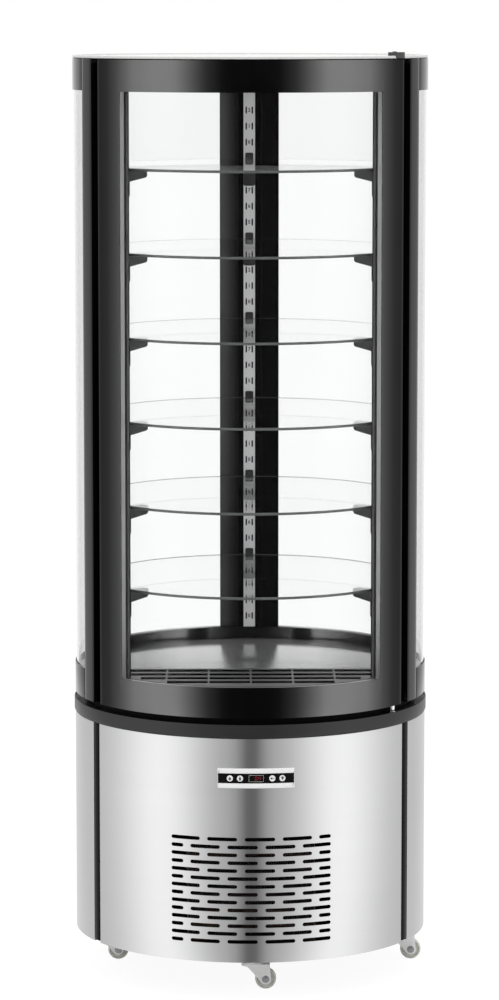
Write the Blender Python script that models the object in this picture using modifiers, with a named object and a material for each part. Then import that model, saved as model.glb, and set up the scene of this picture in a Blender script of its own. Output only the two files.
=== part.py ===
"""Round refrigerated cake display case on casters, built in metres with +Z up.

The floor is z = 0 and the case's own axis is the Z axis. The door is at the front, on the -Y side,
and is hinged at +X. An azimuth is measured about the axis from the front towards +X.
"""

import math

import bmesh
import bpy
from mathutils import Matrix, Vector

TURN = math.tau
QUARTER = math.radians(90)

# Clearances and facets
FIT = 0.0003                          # between flat faces that touch
RADIAL_FIT = 0.0008                   # between curved neighbours, more than a facet's sagitta
OVERRUN = 0.004                       # how far a cutter passes the wall that it cuts
OVERLAP = 0.0006                      # how far joined shapes run into each other
WELD = 0.00001                        # corners closer than this are one corner
FLAT = math.radians(0.2)              # faces closer than this in direction are one face
RING_FACETS = 54
SHELF_FACETS = 48
SMALL_FACETS = 18                     # tunnels, cans and other middling rounds
HIDDEN_FACETS = 36
PIN_FACETS = 12
ARC_STEP = TURN / RING_FACETS

# Heights of the case
CASE_RADIUS = 0.340
GROUND_CLEARANCE = 0.075
BASE_HEIGHT = 0.427
BELT_HEIGHT = 0.0262
BELT_GAP = 0.0119                     # dark joint between the belt and the cabin
CABIN_HEIGHT = 1.2203
LOWER_BAND = 0.0582
UPPER_BAND = 0.0605

# Base panels and uprights
PANEL_SHEET = 0.0012
PANEL_FLANGE = 0.012
UPRIGHT_WIDTH = 0.021
UPRIGHT_DEPTH = 0.030
UPRIGHT_AZIMUTHS = (math.radians(-60), math.radians(60), math.radians(180))
UPRIGHT_PROUD = 0.0003
TRAY_SHEET = 0.003

# Vent slots of the front panel
SLOT_ROWS = 14
SLOT_ROW_PITCH = 0.01505
SLOT_HEIGHT = 0.0070
SLOT_LENGTH = 0.0572
SLOT_PITCH = 0.0714
SLOT_FIELD = 0.310                    # width of the field of slots, along the arc
SLOT_MARGIN = 0.040                   # lowest row above the panel's edge

# Belt between base and cabin
BELT_PROUD = 0.002
BELT_DEPTH = 0.024
BELT_WALL = 0.0025
BELT_LIP = 0.0037

# Rings that hold the glass
RING_WALL = 0.0015                    # outer wall of the glass channel
CHANNEL_DEPTH = 0.0183
RING_LAP = 0.0045                     # rings behind the glass lap the seat by this much
RING_LIP = 0.0147                     # inner wall stands this much above the lower band
SEAT_WIDTH = 0.020                    # ring that the door's gasket closes on
CEILING_LEDGE = 0.008
CEILING_LEDGE_HEIGHT = 0.002
CEILING_SHEET = 0.003

# Glazing
GLASS = 0.004
SPACER_DEPTH = 0.0105
SPACER_WIDTH = 0.008
SPACER_WALL = 0.001

# Door
DOOR_HALF_ANGLE = math.radians(57.2)
WINDOW_HALF_ANGLE = math.radians(46.0)
DOOR_REVEAL_ANGLE = math.radians(47.0)
DOOR_TOP_GAP = 0.0015
DOOR_SKIN = 0.002
DOOR_WALL = 0.0025
DOOR_LINER = 0.0045
DOOR_EDGE_HIDDEN = 0.002              # spacer bars lie this far behind the skin's edge
GLASS_BITE = 0.0025                   # the panes run past the spacer by this much
GASKET_WIDTH = 0.018
GASKET_DEPTH = 0.0102
GASKET_SETBACK = 0.012                # from the window's edge to the gasket
PIVOT_END_INSET = 0.012               # and inside the door's end by this much
PIVOT_INSET = 0.0132                  # pivot lies inside the door's face by this much
TOP_PIN_RADIUS = 0.004
BOTTOM_PIN_RADIUS = 0.006
PIN_CLEARANCE = 0.0004
PIN_DEPTH = 0.018
PIVOT_BOSS_HEIGHT = 0.030
PIVOT_BOSS_WIDTH = 0.026
PIVOT_FLANGE_RADIUS = 0.008
PIVOT_FLANGE_HEIGHT = 0.002
HINGE_BLOCK_WIDTH = 0.028
HINGE_BLOCK_DEPTH = 0.018
HINGE_BLOCK_HEIGHT = 0.0103
HINGE_BLOCK_SHIFT = 0.003             # block sits outward of its pin by this much
HINGE_LIP = 0.0015                    # sheet that hangs from the block over the roof's rim

# Front posts
POST_NEAR_ANGLE = math.radians(61.6)
POST_FAR_ANGLE = math.radians(69.0)
POST_WALL = 0.002
POST_SETBACK = 0.006                  # from the gasket's seat out to the post
POST_WEB = 0.004
POST_WEB_LAP = math.radians(1.2)
POST_TIP_REACH = 0.0125               # web runs past the bracket's centre by this much
LIGHT_WIDTH = 0.014
LIGHT_DEPTH = 0.011
LIGHT_END_GAP = 0.020

# Rear column and its rack strip
COLUMN_WIDTH = 0.118
COLUMN_WALL = 0.002
COLUMN_SHOULDER = 0.013               # the side glass laps behind the column by this much
STRIP_WIDTH = 0.023
STRIP_SHEET = 0.0015
RACK_PITCH = 0.0318
RACK_HOLE_HEIGHT = 0.014
RACK_HOLE_WIDTH = 0.003
RACK_HOLE_SPACING = 0.012
RACK_END_MARGIN = 0.022               # first pair of holes above the strip's foot

# Shelves and brackets
SHELF_COUNT = 6
SHELF_PLAY = 0.0013
SHELF_GLASS = 0.005
SHELF_STEPS = 5                       # rack steps between shelves
LOWEST_SHELF_HEIGHT = 0.2215          # its top above the cabin's foot
BRACKET_PLATE = 0.002
BRACKET_WIDTH = 0.024
BRACKET_DROP = 0.054
BRACKET_TAB_WIDTH = 0.016
BRACKET_TAB_RISE = 0.012
BRACKET_ARM_WIDTH = 0.016
BRACKET_REACH = 0.045                 # from the rail's face to the arm's tip
BRACKET_TIP_HEIGHT = 0.0130
BRACKET_ROOT_HEIGHT = 0.0205
FRONT_BRACKET_AZIMUTH = math.radians(52.3)
REAR_BRACKET_AZIMUTH = math.radians(180)

# Deck and its air grille
DECK_DROP = 0.0093                    # deck's top below the lower band's top
DECK_SHEET = 0.0015
DECK_PLAY = 0.001
DECK_FRONT_EDGE = 0.070               # straight edge lies this far in front of the axis
GRILLE_ROWS = 4
GRILLE_BAYS = 6
GRILLE_BAY_PITCH = 0.080
GRILLE_SLOT_WIDTH = 0.030
GRILLE_BAR = 0.003
GRILLE_MARGIN = 0.006
GRILLE_RIM = 0.012
GRILLE_FRONT_RIM = 0.0565             # plain strip in front of the rows

# Roof
COVER_SHEET = 0.0023
COVER_INSET = 0.001

# Insulated floor with its well
WELL_SHARE = 0.6                      # of the floor's radius
WELL_WALL = 0.020
WELL_DEPTH = 0.115

# Undercarriage
CASTER_SIDE_INSET = 0.053             # from the case's skin in to the swivel
CASTER_FRONT_INSET = 0.105
WHEEL_RADIUS = 0.020
WHEEL_WIDTH = 0.017
WHEEL_CROWN = 0.0025
WHEEL_HUB_RADIUS = 0.009
WHEEL_HUB_PROUD = 0.0008
WHEEL_FACETS = 16
CASTER_TRAIL = 0.028
CASTER_HEIGHT = 0.0572
CASTER_PLATE_SIZE = 0.040
CASTER_PLATE_SHEET = 0.002
CUP_RADIUS = 0.015
CUP_HEIGHT = 0.0045
KINGPIN_RADIUS = 0.004
KINGPIN_HEAD_RADIUS = 0.0065
KINGPIN_HEAD_HEIGHT = 0.002
FORK_SHEET = 0.002
FORK_TOP_FRONT = 0.018
FORK_TOP_BACK = 0.036
FORK_TOP_DROP = 0.008
FORK_EYE_RADIUS = 0.010
AXLE_RADIUS = 0.003
NUT_RADIUS = 0.0055
NUT_HEIGHT = 0.003
NUT_SIDES = 6
AXLE_FACETS = 8
BEAM_WIDTH = 0.044
BEAM_WALL = 0.002
BEAM_END = 0.022                      # beams run past the swivels by this much

# Controller
CONTROL_OFFSET = 0.009                # centre lies to the right, along the arc
CONTROL_DROP = 0.0745                 # centre below the base's upper edge
BEZEL_WIDTH = 0.144
BEZEL_HEIGHT = 0.0375
BEZEL_SHEET = 0.0024
BODY_WIDTH = 0.136
BODY_HEIGHT = 0.030
BODY_DEPTH = 0.045
CUTOUT_PLAY = 0.001
WINDOW_WIDTH = 0.142
WINDOW_HEIGHT = 0.018
WINDOW_SHEET = 0.001
BUTTON_RADIUS = 0.00575
BUTTON_PLAY = 0.0004
BUTTON_PROUD = 0.0012
BUTTON_LENGTH = 0.0055
BUTTON_TRAVEL = 0.001
BUTTON_OFFSETS = {
    "button_up": -0.0488,
    "button_light": -0.030,
    "button_set": 0.030,
    "button_down": 0.0488,
}

# Machinery in the base
COMPRESSOR_SIDE_SHARE = 0.28          # its place, in shares of the case's radius
COMPRESSOR_REAR_SHARE = 0.35
COMPRESSOR_RADIUS = 0.078
COMPRESSOR_HEIGHT = 0.165
COMPRESSOR_DOME = 0.028
COMPRESSOR_FOOT = 0.180
COMPRESSOR_FOOT_SHEET = 0.004
CONDENSER_WIDTH = 0.240
CONDENSER_HEIGHT = 0.220
CONDENSER_DEPTH = 0.050
CONDENSER_SETBACK = 0.044             # from the case's skin back to the front face
CONDENSER_GROOVES = 9
CONDENSER_GROOVE = 0.006
CONDENSER_GROOVE_DEPTH = 0.008
FAN_RADIUS = 0.085
FAN_HUB_RADIUS = 0.022
FAN_HUB_LENGTH = 0.020
FAN_BLADES = 5
FAN_BLADE_SHEET = 0.002
FAN_BLADE_PITCH = math.radians(28)
FAN_CLEARANCE = 0.006
SHROUD_DEPTH = 0.034
SHROUD_SHEET = 0.002
MOTOR_RADIUS = 0.028
MOTOR_LENGTH = 0.040
MOTOR_STRUT = 0.012
SHAFT_RADIUS = 0.004
SHAFT_PLAY = 0.0004
COIL_LENGTH = 0.240
COIL_WIDTH = 0.090
COIL_HEIGHT = 0.090
COIL_BACK = 0.010
EVAPORATOR_FAN_SCALE_SHARE = 0.48

# Power inlet in the right-hand panel, near the rear
INLET_AZIMUTH = math.radians(168)
INLET_HEIGHT = 0.060
INLET_WIDTH = 0.030
INLET_TALL = 0.024
INLET_BODY_DEPTH = 0.025
INLET_FLANGE = 0.004
INLET_FLANGE_SHEET = 0.002
INLET_WELL_SHARE = 0.62
INLET_WELL_DEPTH = 0.014

# Heights that follow
BASE_BOTTOM = GROUND_CLEARANCE
BASE_TOP = BASE_BOTTOM + BASE_HEIGHT
BELT_TOP = BASE_TOP + BELT_HEIGHT
BELT_FLOOR = BELT_TOP - BELT_LIP
CABIN_BOTTOM = BELT_TOP + BELT_GAP
CABIN_TOP = CABIN_BOTTOM + CABIN_HEIGHT
LOWER_BAND_TOP = CABIN_BOTTOM + LOWER_BAND
UPPER_BAND_BOTTOM = CABIN_TOP - UPPER_BAND
LOWER_LIP_TOP = LOWER_BAND_TOP + RING_LIP
CHANNEL_FLOOR = LOWER_BAND_TOP - CHANNEL_DEPTH
CHANNEL_ROOF = UPPER_BAND_BOTTOM + CHANNEL_DEPTH
DECK_TOP = LOWER_BAND_TOP - DECK_DROP
DECK_BOTTOM = DECK_TOP - DECK_SHEET
SEAT_TOP = DECK_BOTTOM - FIT
DOOR_TOP = CABIN_TOP - DOOR_TOP_GAP
COVER_BOTTOM = CABIN_TOP + FIT
COVER_TOP = COVER_BOTTOM + COVER_SHEET
TRAY_TOP = BASE_BOTTOM + TRAY_SHEET
PANEL_TOP = BASE_TOP - FIT

# Radii that follow
PANEL_INNER = CASE_RADIUS - PANEL_SHEET
FLANGE_RADIUS = CASE_RADIUS - PANEL_FLANGE
TRAY_RADIUS = FLANGE_RADIUS - RADIAL_FIT
OUTER_PANE = CASE_RADIUS - RING_WALL - RADIAL_FIT
SPACER_OUTER = OUTER_PANE - GLASS - RADIAL_FIT
INNER_PANE = SPACER_OUTER - SPACER_DEPTH - RADIAL_FIT
LIP_RADIUS = INNER_PANE - GLASS - RADIAL_FIT
DOOR_OUTER_PANE = CASE_RADIUS - DOOR_SKIN - RADIAL_FIT
DOOR_SPACER_OUTER = DOOR_OUTER_PANE - GLASS - RADIAL_FIT
DOOR_INNER_PANE = DOOR_SPACER_OUTER - SPACER_DEPTH - RADIAL_FIT
LINER_RADIUS = DOOR_INNER_PANE - GLASS - RADIAL_FIT
DOOR_INNER_RADIUS = LINER_RADIUS - DOOR_LINER
POCKET_RADIUS = LINER_RADIUS + RADIAL_FIT
GASKET_OUTER = DOOR_INNER_RADIUS - RADIAL_FIT
GASKET_INNER = GASKET_OUTER - GASKET_DEPTH
SEAT_RADIUS = GASKET_INNER - RADIAL_FIT
SEAT_INNER_RADIUS = SEAT_RADIUS - SEAT_WIDTH
RING_BODY_RADIUS = SEAT_RADIUS - RING_LAP
POST_INNER_RADIUS = SEAT_RADIUS + POST_SETBACK
RAIL_FACE = SEAT_RADIUS - POST_WEB
SHELF_RADIUS = RAIL_FACE - BRACKET_PLATE - SHELF_PLAY
BRACKET_ARM_TIP_RADIUS = RAIL_FACE - BRACKET_REACH
DECK_RADIUS = RING_BODY_RADIUS - DECK_PLAY
FLOOR_RADIUS = CASE_RADIUS + BELT_PROUD - BELT_DEPTH - RADIAL_FIT * 2
WELL_RADIUS = FLOOR_RADIUS * WELL_SHARE
PIVOT_RADIUS = CASE_RADIUS - PIVOT_INSET
PIVOT_AZIMUTH = DOOR_HALF_ANGLE - PIVOT_END_INSET / PIVOT_RADIUS
CASTER_SIDE_REACH = CASE_RADIUS - CASTER_SIDE_INSET
CASTER_FRONT_REACH = CASE_RADIUS - CASTER_FRONT_INSET
CONDENSER_FRONT = CASE_RADIUS - CONDENSER_SETBACK
COMPRESSOR_PLACE = Vector((CASE_RADIUS * COMPRESSOR_SIDE_SHARE, CASE_RADIUS * COMPRESSOR_REAR_SHARE, 0.0))
COLUMN_FACE = RAIL_FACE + STRIP_SHEET + FIT
PIVOT = Vector((PIVOT_RADIUS * math.sin(PIVOT_AZIMUTH), -PIVOT_RADIUS * math.cos(PIVOT_AZIMUTH), 0.0))

# Colours: red, green, blue, roughness, metallic, alpha
FINISHES = {
    "black_paint": (0.015, 0.015, 0.016, 0.22, 0.0, 1.0),
    "brushed_steel": (0.55, 0.55, 0.56, 0.30, 1.0, 1.0),
    "bright_steel": (0.62, 0.62, 0.62, 0.25, 1.0, 1.0),
    "white_paint": (0.80, 0.80, 0.80, 0.35, 0.0, 1.0),
    "black_plastic": (0.02, 0.02, 0.02, 0.45, 0.0, 1.0),
    "light_plastic": (0.72, 0.72, 0.73, 0.35, 0.0, 1.0),
    "window_black": (0.004, 0.004, 0.005, 0.08, 0.0, 1.0),
    "glass": (0.93, 0.96, 0.95, 0.02, 0.0, 0.2),
    "spacer_aluminium": (0.62, 0.62, 0.63, 0.35, 1.0, 1.0),
    "rubber": (0.03, 0.03, 0.03, 0.75, 0.0, 1.0),
    "zinc": (0.60, 0.60, 0.58, 0.35, 1.0, 1.0),
    "wheel_nylon": (0.42, 0.42, 0.37, 0.40, 0.0, 1.0),
    "diffuser": (0.85, 0.85, 0.84, 0.50, 0.0, 1.0),
    "copper": (0.72, 0.36, 0.20, 0.30, 1.0, 1.0),
    "fins": (0.50, 0.50, 0.51, 0.40, 1.0, 1.0),
    "foam_skin": (0.75, 0.75, 0.74, 0.50, 0.0, 1.0),
}


def clear_scene():
    for thing in list(bpy.data.objects):
        bpy.data.objects.remove(thing, do_unlink=True)


def make_collection(name):
    made = bpy.data.collections.new(name)
    bpy.context.scene.collection.children.link(made)
    return made


clear_scene()
PARTS = make_collection("cake_display_case")
CUTTERS = make_collection("cutters")
CUTTERS.hide_render = True


def finish(node, key):
    """A Principled material of its own for one sub-part."""
    red, green, blue, roughness, metallic, alpha = FINISHES[key]
    material = bpy.data.materials.new(node + "_finish")
    material.use_nodes = True
    shader = material.node_tree.nodes["Principled BSDF"]
    shader.inputs["Base Color"].default_value = (red, green, blue, 1.0)
    shader.inputs["Roughness"].default_value = roughness
    shader.inputs["Metallic"].default_value = metallic
    shader.inputs["Alpha"].default_value = alpha
    material.diffuse_color = (red, green, blue, alpha)
    return material


def add_part(name, mesh, key, parent=None):
    """Puts a mesh modelled in world places into the parts' collection."""
    part = bpy.data.objects.new(name, mesh)
    PARTS.objects.link(part)
    mesh.materials.clear()
    mesh.materials.append(finish(name, key))
    if parent:
        hang(part, parent)
    return part


def add_cutter(name, mesh):
    cutter = bpy.data.objects.new(name, mesh)
    CUTTERS.objects.link(cutter)
    cutter.hide_render = True
    cutter.display_type = "WIRE"
    return cutter


def hang(part, pivot):
    """Parents a piece to its joint's empty and keeps its place in the world."""
    part.parent = pivot
    part.matrix_parent_inverse = Matrix.Translation(-pivot_place(pivot))


def pivot_place(pivot):
    place = Vector(pivot.location)
    if pivot.parent:
        place += pivot_place(pivot.parent)
    return place


def add_pivot(name, place, parent=None):
    pivot = bpy.data.objects.new(name, None)
    PARTS.objects.link(pivot)
    pivot.location = place
    if parent:
        pivot.parent = parent
        pivot.location = Vector(place) - pivot_place(parent)
    return pivot


def combine(target, mesh, operation, label):
    """Cuts a mesh out of a part, or joins it on, with an exact Boolean."""
    cutter = add_cutter(target.name + "_" + label, mesh)
    cutter.parent = target.parent
    cutter.matrix_parent_inverse = target.matrix_parent_inverse
    modifier = target.modifiers.new(label, "BOOLEAN")
    modifier.operation = operation
    modifier.solver = "EXACT"
    modifier.object = cutter
    return target


def cut(target, mesh, label):
    return combine(target, mesh, "DIFFERENCE", label)


def join(target, mesh, label):
    return combine(target, mesh, "UNION", label)


def mesh_from(shape, name):
    """Turns a finished bmesh into a mesh whose faces point out."""
    bmesh.ops.recalc_face_normals(shape, faces=shape.faces)
    mesh = bpy.data.meshes.new(name)
    shape.to_mesh(mesh)
    shape.free()
    return mesh


def moved(mesh, matrix):
    mesh.transform(matrix)
    return mesh


def merged(meshes):
    """One mesh that holds several separate solids."""
    shape = bmesh.new()
    for mesh in meshes:
        shape.from_mesh(mesh)
    return mesh_from(shape, "group")


def smooth(part, angle=math.radians(35)):
    part.data.shade_smooth()
    part.data.set_sharp_from_angle(angle=angle)
    return part


def polar(radius, azimuth, height=0.0):
    return Vector((radius * math.sin(azimuth), -radius * math.cos(azimuth), height))


def facing(azimuth, height=0.0):
    """Frame on the axis whose -Y points outward along the azimuth."""
    return Matrix.Translation((0.0, 0.0, height)) @ Matrix.Rotation(azimuth, 4, "Z")


def grid_angles(start, end):
    """The ends of an arc and every facet corner of the case between them."""
    low, high = min(start, end), max(start, end)
    first = math.floor(low / ARC_STEP) + 1
    last = math.ceil(high / ARC_STEP) - 1
    near = ARC_STEP / SHELF_FACETS
    inner = [step * ARC_STEP for step in range(first, last + 1)]
    angles = [low] + [angle for angle in inner if angle - low > near and high - angle > near] + [high]
    return angles if start < end else angles[::-1]


def arc(radius, start, end):
    return [polar(radius, angle) for angle in grid_angles(start, end)]


def swept(section, start, end):
    """A closed section of (radius, height) corners, carried about the axis from one azimuth to another."""
    angles = grid_angles(start, end)
    shape = bmesh.new()
    corners = [shape.verts.new(polar(radius, angles[0], height)) for radius, height in section]
    face = shape.faces.new(corners)
    for before, after in zip(angles, angles[1:]):
        grown = bmesh.ops.extrude_face_region(shape, geom=[face, *face.edges])["geom"]
        new_corners = [part for part in grown if isinstance(part, bmesh.types.BMVert)]
        turn = Matrix.Rotation(after - before, 3, "Z")
        bmesh.ops.rotate(shape, verts=new_corners, cent=(0.0, 0.0, 0.0), matrix=turn)
        face = next(part for part in grown if isinstance(part, bmesh.types.BMFace))
    return mesh_from(shape, "swept")


def slab(inner, outer, start, end, low, high):
    """A curved wall between two radii, two azimuths and two heights."""
    return swept([(inner, low), (outer, low), (outer, high), (inner, high)], start, end)


def turned(name, profile, key, closed=False, facets=RING_FACETS, parent=None):
    """A full turn of a (radius, height) profile, with its outer side running down."""
    shape = bmesh.new()
    corners = [shape.verts.new((radius, 0.0, height)) for radius, height in profile]
    for before, after in zip(corners, corners[1:]):
        shape.edges.new((before, after))
    if closed:
        shape.edges.new((corners[-1], corners[0]))
    mesh = bpy.data.meshes.new(name)
    shape.to_mesh(mesh)
    shape.free()
    part = add_part(name, mesh, key, parent)
    screw = part.modifiers.new("turn", "SCREW")
    screw.angle = TURN
    screw.steps = facets
    screw.render_steps = facets
    screw.use_merge_vertices = True
    screw.merge_threshold = 0.0001
    screw.use_normal_calculate = False
    return part


def settled(thing):
    """The evaluated mesh of an object, welded, after which the object is removed."""
    graph = bpy.context.evaluated_depsgraph_get()
    mesh = bpy.data.meshes.new_from_object(thing.evaluated_get(graph))
    mesh.transform(thing.matrix_world)
    shape = bmesh.new()
    shape.from_mesh(mesh)
    bmesh.ops.remove_doubles(shape, verts=shape.verts, dist=WELD)
    bmesh.ops.dissolve_limit(shape, angle_limit=FLAT, verts=shape.verts, edges=shape.edges)
    bpy.data.objects.remove(thing, do_unlink=True)
    return mesh_from(shape, "settled")


def turned_mesh(profile, facets=RING_FACETS):
    """The same turn as a mesh, for shapes that are joined or cut."""
    part = turned("guide_turn", profile, "zinc", facets=facets)
    return settled(part)


def plate(outline, low, high, holes=()):
    """A flat outline in plan, filled and given its thickness between two heights."""
    curve = bpy.data.curves.new("outline", "CURVE")
    curve.dimensions = "2D"
    curve.fill_mode = "BOTH"
    curve.extrude = (high - low) / 2
    for ring in [outline, *holes]:
        spline = curve.splines.new("POLY")
        spline.points.add(len(ring) - 1)
        for point, corner in zip(spline.points, ring):
            point.co = (corner[0], corner[1], 0.0, 1.0)
        spline.use_cyclic_u = True
    thing = bpy.data.objects.new("outline", curve)
    CUTTERS.objects.link(thing)
    mesh = settled(thing)
    return moved(mesh, Matrix.Translation((0.0, 0.0, (low + high) / 2)))


def upright_plate(outline, thickness):
    """An outline in the (outward, height) plane, with its thickness across, centred on the front radius."""
    flat = plate(outline, -thickness / 2, thickness / 2)
    stand = Matrix(((0.0, 0.0, 1.0, 0.0), (-1.0, 0.0, 0.0, 0.0), (0.0, 1.0, 0.0, 0.0), (0.0, 0.0, 0.0, 1.0)))
    return moved(flat, stand)


def box(low, high):
    """A cube primitive scaled to two opposite corners."""
    low, high = Vector(low), Vector(high)
    shape = bmesh.new()
    bmesh.ops.create_cube(shape, size=1.0)
    bmesh.ops.scale(shape, vec=high - low, verts=shape.verts)
    bmesh.ops.translate(shape, vec=(low + high) / 2, verts=shape.verts)
    return mesh_from(shape, "box")


def cylinder(radius, low, high, facets=PIN_FACETS, centre=(0.0, 0.0), tip=None):
    """An upright cylinder primitive, or a cone frustum when its tip radius is given."""
    shape = bmesh.new()
    bmesh.ops.create_cone(
        shape,
        cap_ends=True,
        segments=facets,
        radius1=radius,
        radius2=radius if tip is None else tip,
        depth=high - low,
    )
    middle = Vector((centre[0], centre[1], (low + high) / 2))
    bmesh.ops.translate(shape, vec=middle, verts=shape.verts)
    return mesh_from(shape, "cylinder")


def outward(mesh, azimuth, height=0.0):
    """Lays a mesh that stands along Z so that it points outward along an azimuth."""
    return moved(mesh, facing(azimuth, height) @ Matrix.Rotation(QUARTER, 4, "X"))


def across(mesh):
    """Lays a mesh that stands along Z so that it lies along Y."""
    return moved(mesh, Matrix.Rotation(QUARTER, 4, "X"))


# Undercarriage


CASTERS = {
    "front": Vector((0.0, -CASTER_FRONT_REACH, 0.0)),
    "rear": Vector((0.0, CASTER_FRONT_REACH, 0.0)),
    "left": Vector((-CASTER_SIDE_REACH, 0.0, 0.0)),
    "right": Vector((CASTER_SIDE_REACH, 0.0, 0.0)),
}
PLATE_BOTTOM = CASTER_HEIGHT - CASTER_PLATE_SHEET
CUP_BOTTOM = PLATE_BOTTOM - CUP_HEIGHT
FORK_TOP = CUP_BOTTOM - FIT
FORK_UNDER = FORK_TOP - FORK_SHEET
LEG_INNER = WHEEL_WIDTH / 2 + WHEEL_HUB_PROUD + FIT
LEG_OUTER = LEG_INNER + FORK_SHEET


def kingpin_profile():
    """Bearing cup and kingpin with its head, from the plate's middle down to the axis."""
    head_top = FORK_UNDER - FIT
    return [
        (0.0, CASTER_HEIGHT - CASTER_PLATE_SHEET / 2),
        (CUP_RADIUS, CASTER_HEIGHT - CASTER_PLATE_SHEET / 2),
        (CUP_RADIUS, CUP_BOTTOM),
        (KINGPIN_RADIUS, CUP_BOTTOM),
        (KINGPIN_RADIUS, head_top),
        (KINGPIN_HEAD_RADIUS, head_top),
        (KINGPIN_HEAD_RADIUS, head_top - KINGPIN_HEAD_HEIGHT),
        (0.0, head_top - KINGPIN_HEAD_HEIGHT),
    ]


def build_base_frame():
    """Cross of two channels that are open at the top, with the four caster plates welded on below."""
    low = CASTER_HEIGHT
    high = BASE_BOTTOM - FIT
    half, side, front = BEAM_WIDTH / 2, CASTER_SIDE_REACH + BEAM_END, CASTER_FRONT_REACH + BEAM_END
    frame = add_part("base_frame", box((-half, -front, low), (half, front, high)), "black_paint")
    join(frame, box((-side, -half, low), (side, half, high)), "crossbeam")
    inner = half - BEAM_WALL
    floor = low + BEAM_WALL
    cut(frame, box((-inner, BEAM_WALL - front, floor), (inner, front - BEAM_WALL, high + OVERRUN)), "channel")
    groove = box((BEAM_WALL - side, -inner, floor), (side - BEAM_WALL, inner, high + OVERRUN))
    cut(frame, groove, "cross_channel")
    half_plate = CASTER_PLATE_SIZE / 2
    plates, pins = [], []
    for place in CASTERS.values():
        at = Matrix.Translation(place)
        sheet = box((-half_plate, -half_plate, PLATE_BOTTOM), (half_plate, half_plate, low + OVERLAP))
        plates.append(moved(sheet, at))
        pins.append(moved(turned_mesh(kingpin_profile(), PIN_FACETS), at))
    join(frame, merged(plates), "caster_plates")
    join(frame, merged(pins), "kingpins")


def fork_leg_outline():
    """Side of a fork leg, in (trailing distance, height)."""
    eye = [
        (CASTER_TRAIL + FORK_EYE_RADIUS * math.cos(angle), WHEEL_RADIUS + FORK_EYE_RADIUS * math.sin(angle))
        for angle in [math.radians(degrees) for degrees in range(-140, 41, 36)]
    ]
    return [
        (-FORK_TOP_FRONT, FORK_TOP),
        (-FORK_TOP_FRONT, FORK_TOP - FORK_TOP_DROP),
        *eye,
        (FORK_TOP_BACK, FORK_TOP - FORK_TOP_DROP),
        (FORK_TOP_BACK, FORK_TOP),
    ]


def build_caster(side, place):
    at = Matrix.Translation(place)
    swivel = add_pivot("swivel_" + side, place)
    roll = add_pivot("roll_" + side, place + Vector((CASTER_TRAIL, 0.0, WHEEL_RADIUS)), swivel)
    lay = Matrix.Rotation(QUARTER, 4, "X")
    legs = []
    for low in (-LEG_OUTER, LEG_INNER):
        leg = plate(fork_leg_outline(), -low - FORK_SHEET, -low)
        legs.append(moved(leg, at @ lay))
    fork = add_part("caster_fork_" + side, merged(legs), "zinc", swivel)
    top = box((-FORK_TOP_FRONT, -LEG_OUTER, FORK_UNDER), (FORK_TOP_BACK, LEG_OUTER, FORK_TOP))
    join(fork, moved(top, at), "crown")
    bolt_reach = LEG_OUTER + NUT_HEIGHT
    at_axle = at @ Matrix.Translation((CASTER_TRAIL, 0.0, WHEEL_RADIUS)) @ lay
    join(fork, moved(cylinder(AXLE_RADIUS, -LEG_OUTER, LEG_OUTER, AXLE_FACETS), at_axle), "axle")
    heads = merged([
        cylinder(NUT_RADIUS, -bolt_reach, -LEG_OUTER + OVERLAP, NUT_SIDES),
        cylinder(NUT_RADIUS, LEG_OUTER - OVERLAP, bolt_reach, NUT_SIDES),
    ])
    join(fork, moved(heads, at_axle), "bolt_ends")
    hole = cylinder(KINGPIN_RADIUS + SHAFT_PLAY, FORK_UNDER - OVERRUN, FORK_TOP + OVERRUN)
    cut(fork, moved(hole, at), "kingpin_hole")

    half = WHEEL_WIDTH / 2
    bore = AXLE_RADIUS + SHAFT_PLAY
    profile = [
        (bore, half + WHEEL_HUB_PROUD),
        (WHEEL_HUB_RADIUS, half + WHEEL_HUB_PROUD),
        (WHEEL_RADIUS - WHEEL_CROWN, half),
        (WHEEL_RADIUS, half - WHEEL_CROWN),
        (WHEEL_RADIUS, WHEEL_CROWN - half),
        (WHEEL_RADIUS - WHEEL_CROWN, -half),
        (WHEEL_HUB_RADIUS, -half - WHEEL_HUB_PROUD),
        (bore, -half - WHEEL_HUB_PROUD),
    ]
    wheel = turned("caster_wheel_" + side, profile, "wheel_nylon", closed=True, facets=WHEEL_FACETS)
    wheel.parent = roll
    wheel.rotation_euler = (QUARTER, 0.0, 0.0)
    smooth(wheel)


# Base


def build_chassis():
    """Round tray with three uprights, whose caps are the trims between the panels."""
    half = UPRIGHT_WIDTH / 2
    cap_face, cap_back = CASE_RADIUS + UPRIGHT_PROUD, FLANGE_RADIUS
    bar_back = CASE_RADIUS - UPRIGHT_DEPTH
    caps, bars = [], []
    for azimuth in UPRIGHT_AZIMUTHS:
        turn = facing(azimuth)
        caps.append(moved(box((-half, -cap_face, BASE_BOTTOM), (half, -cap_back, PANEL_TOP)), turn))
        foot = BASE_BOTTOM + TRAY_SHEET / 2
        bars.append(moved(box((-half, -cap_back - OVERLAP, foot), (half, -bar_back, PANEL_TOP)), turn))
    chassis = add_part("chassis", cylinder(TRAY_RADIUS, BASE_BOTTOM, TRAY_TOP, RING_FACETS), "black_paint")
    join(chassis, merged(bars), "bars")
    join(chassis, merged(caps), "caps")


def panel_mesh(start, end):
    """Curved sheet with a folded flange at each end, between two uprights."""
    wall = PANEL_SHEET / FLANGE_RADIUS
    outline = [
        *arc(CASE_RADIUS, start, end),
        polar(FLANGE_RADIUS, end),
        polar(FLANGE_RADIUS, end - wall),
        *arc(PANEL_INNER, end - wall, start + wall),
        polar(FLANGE_RADIUS, start + wall),
        polar(FLANGE_RADIUS, start),
    ]
    return plate(outline, BASE_BOTTOM, PANEL_TOP)


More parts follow.
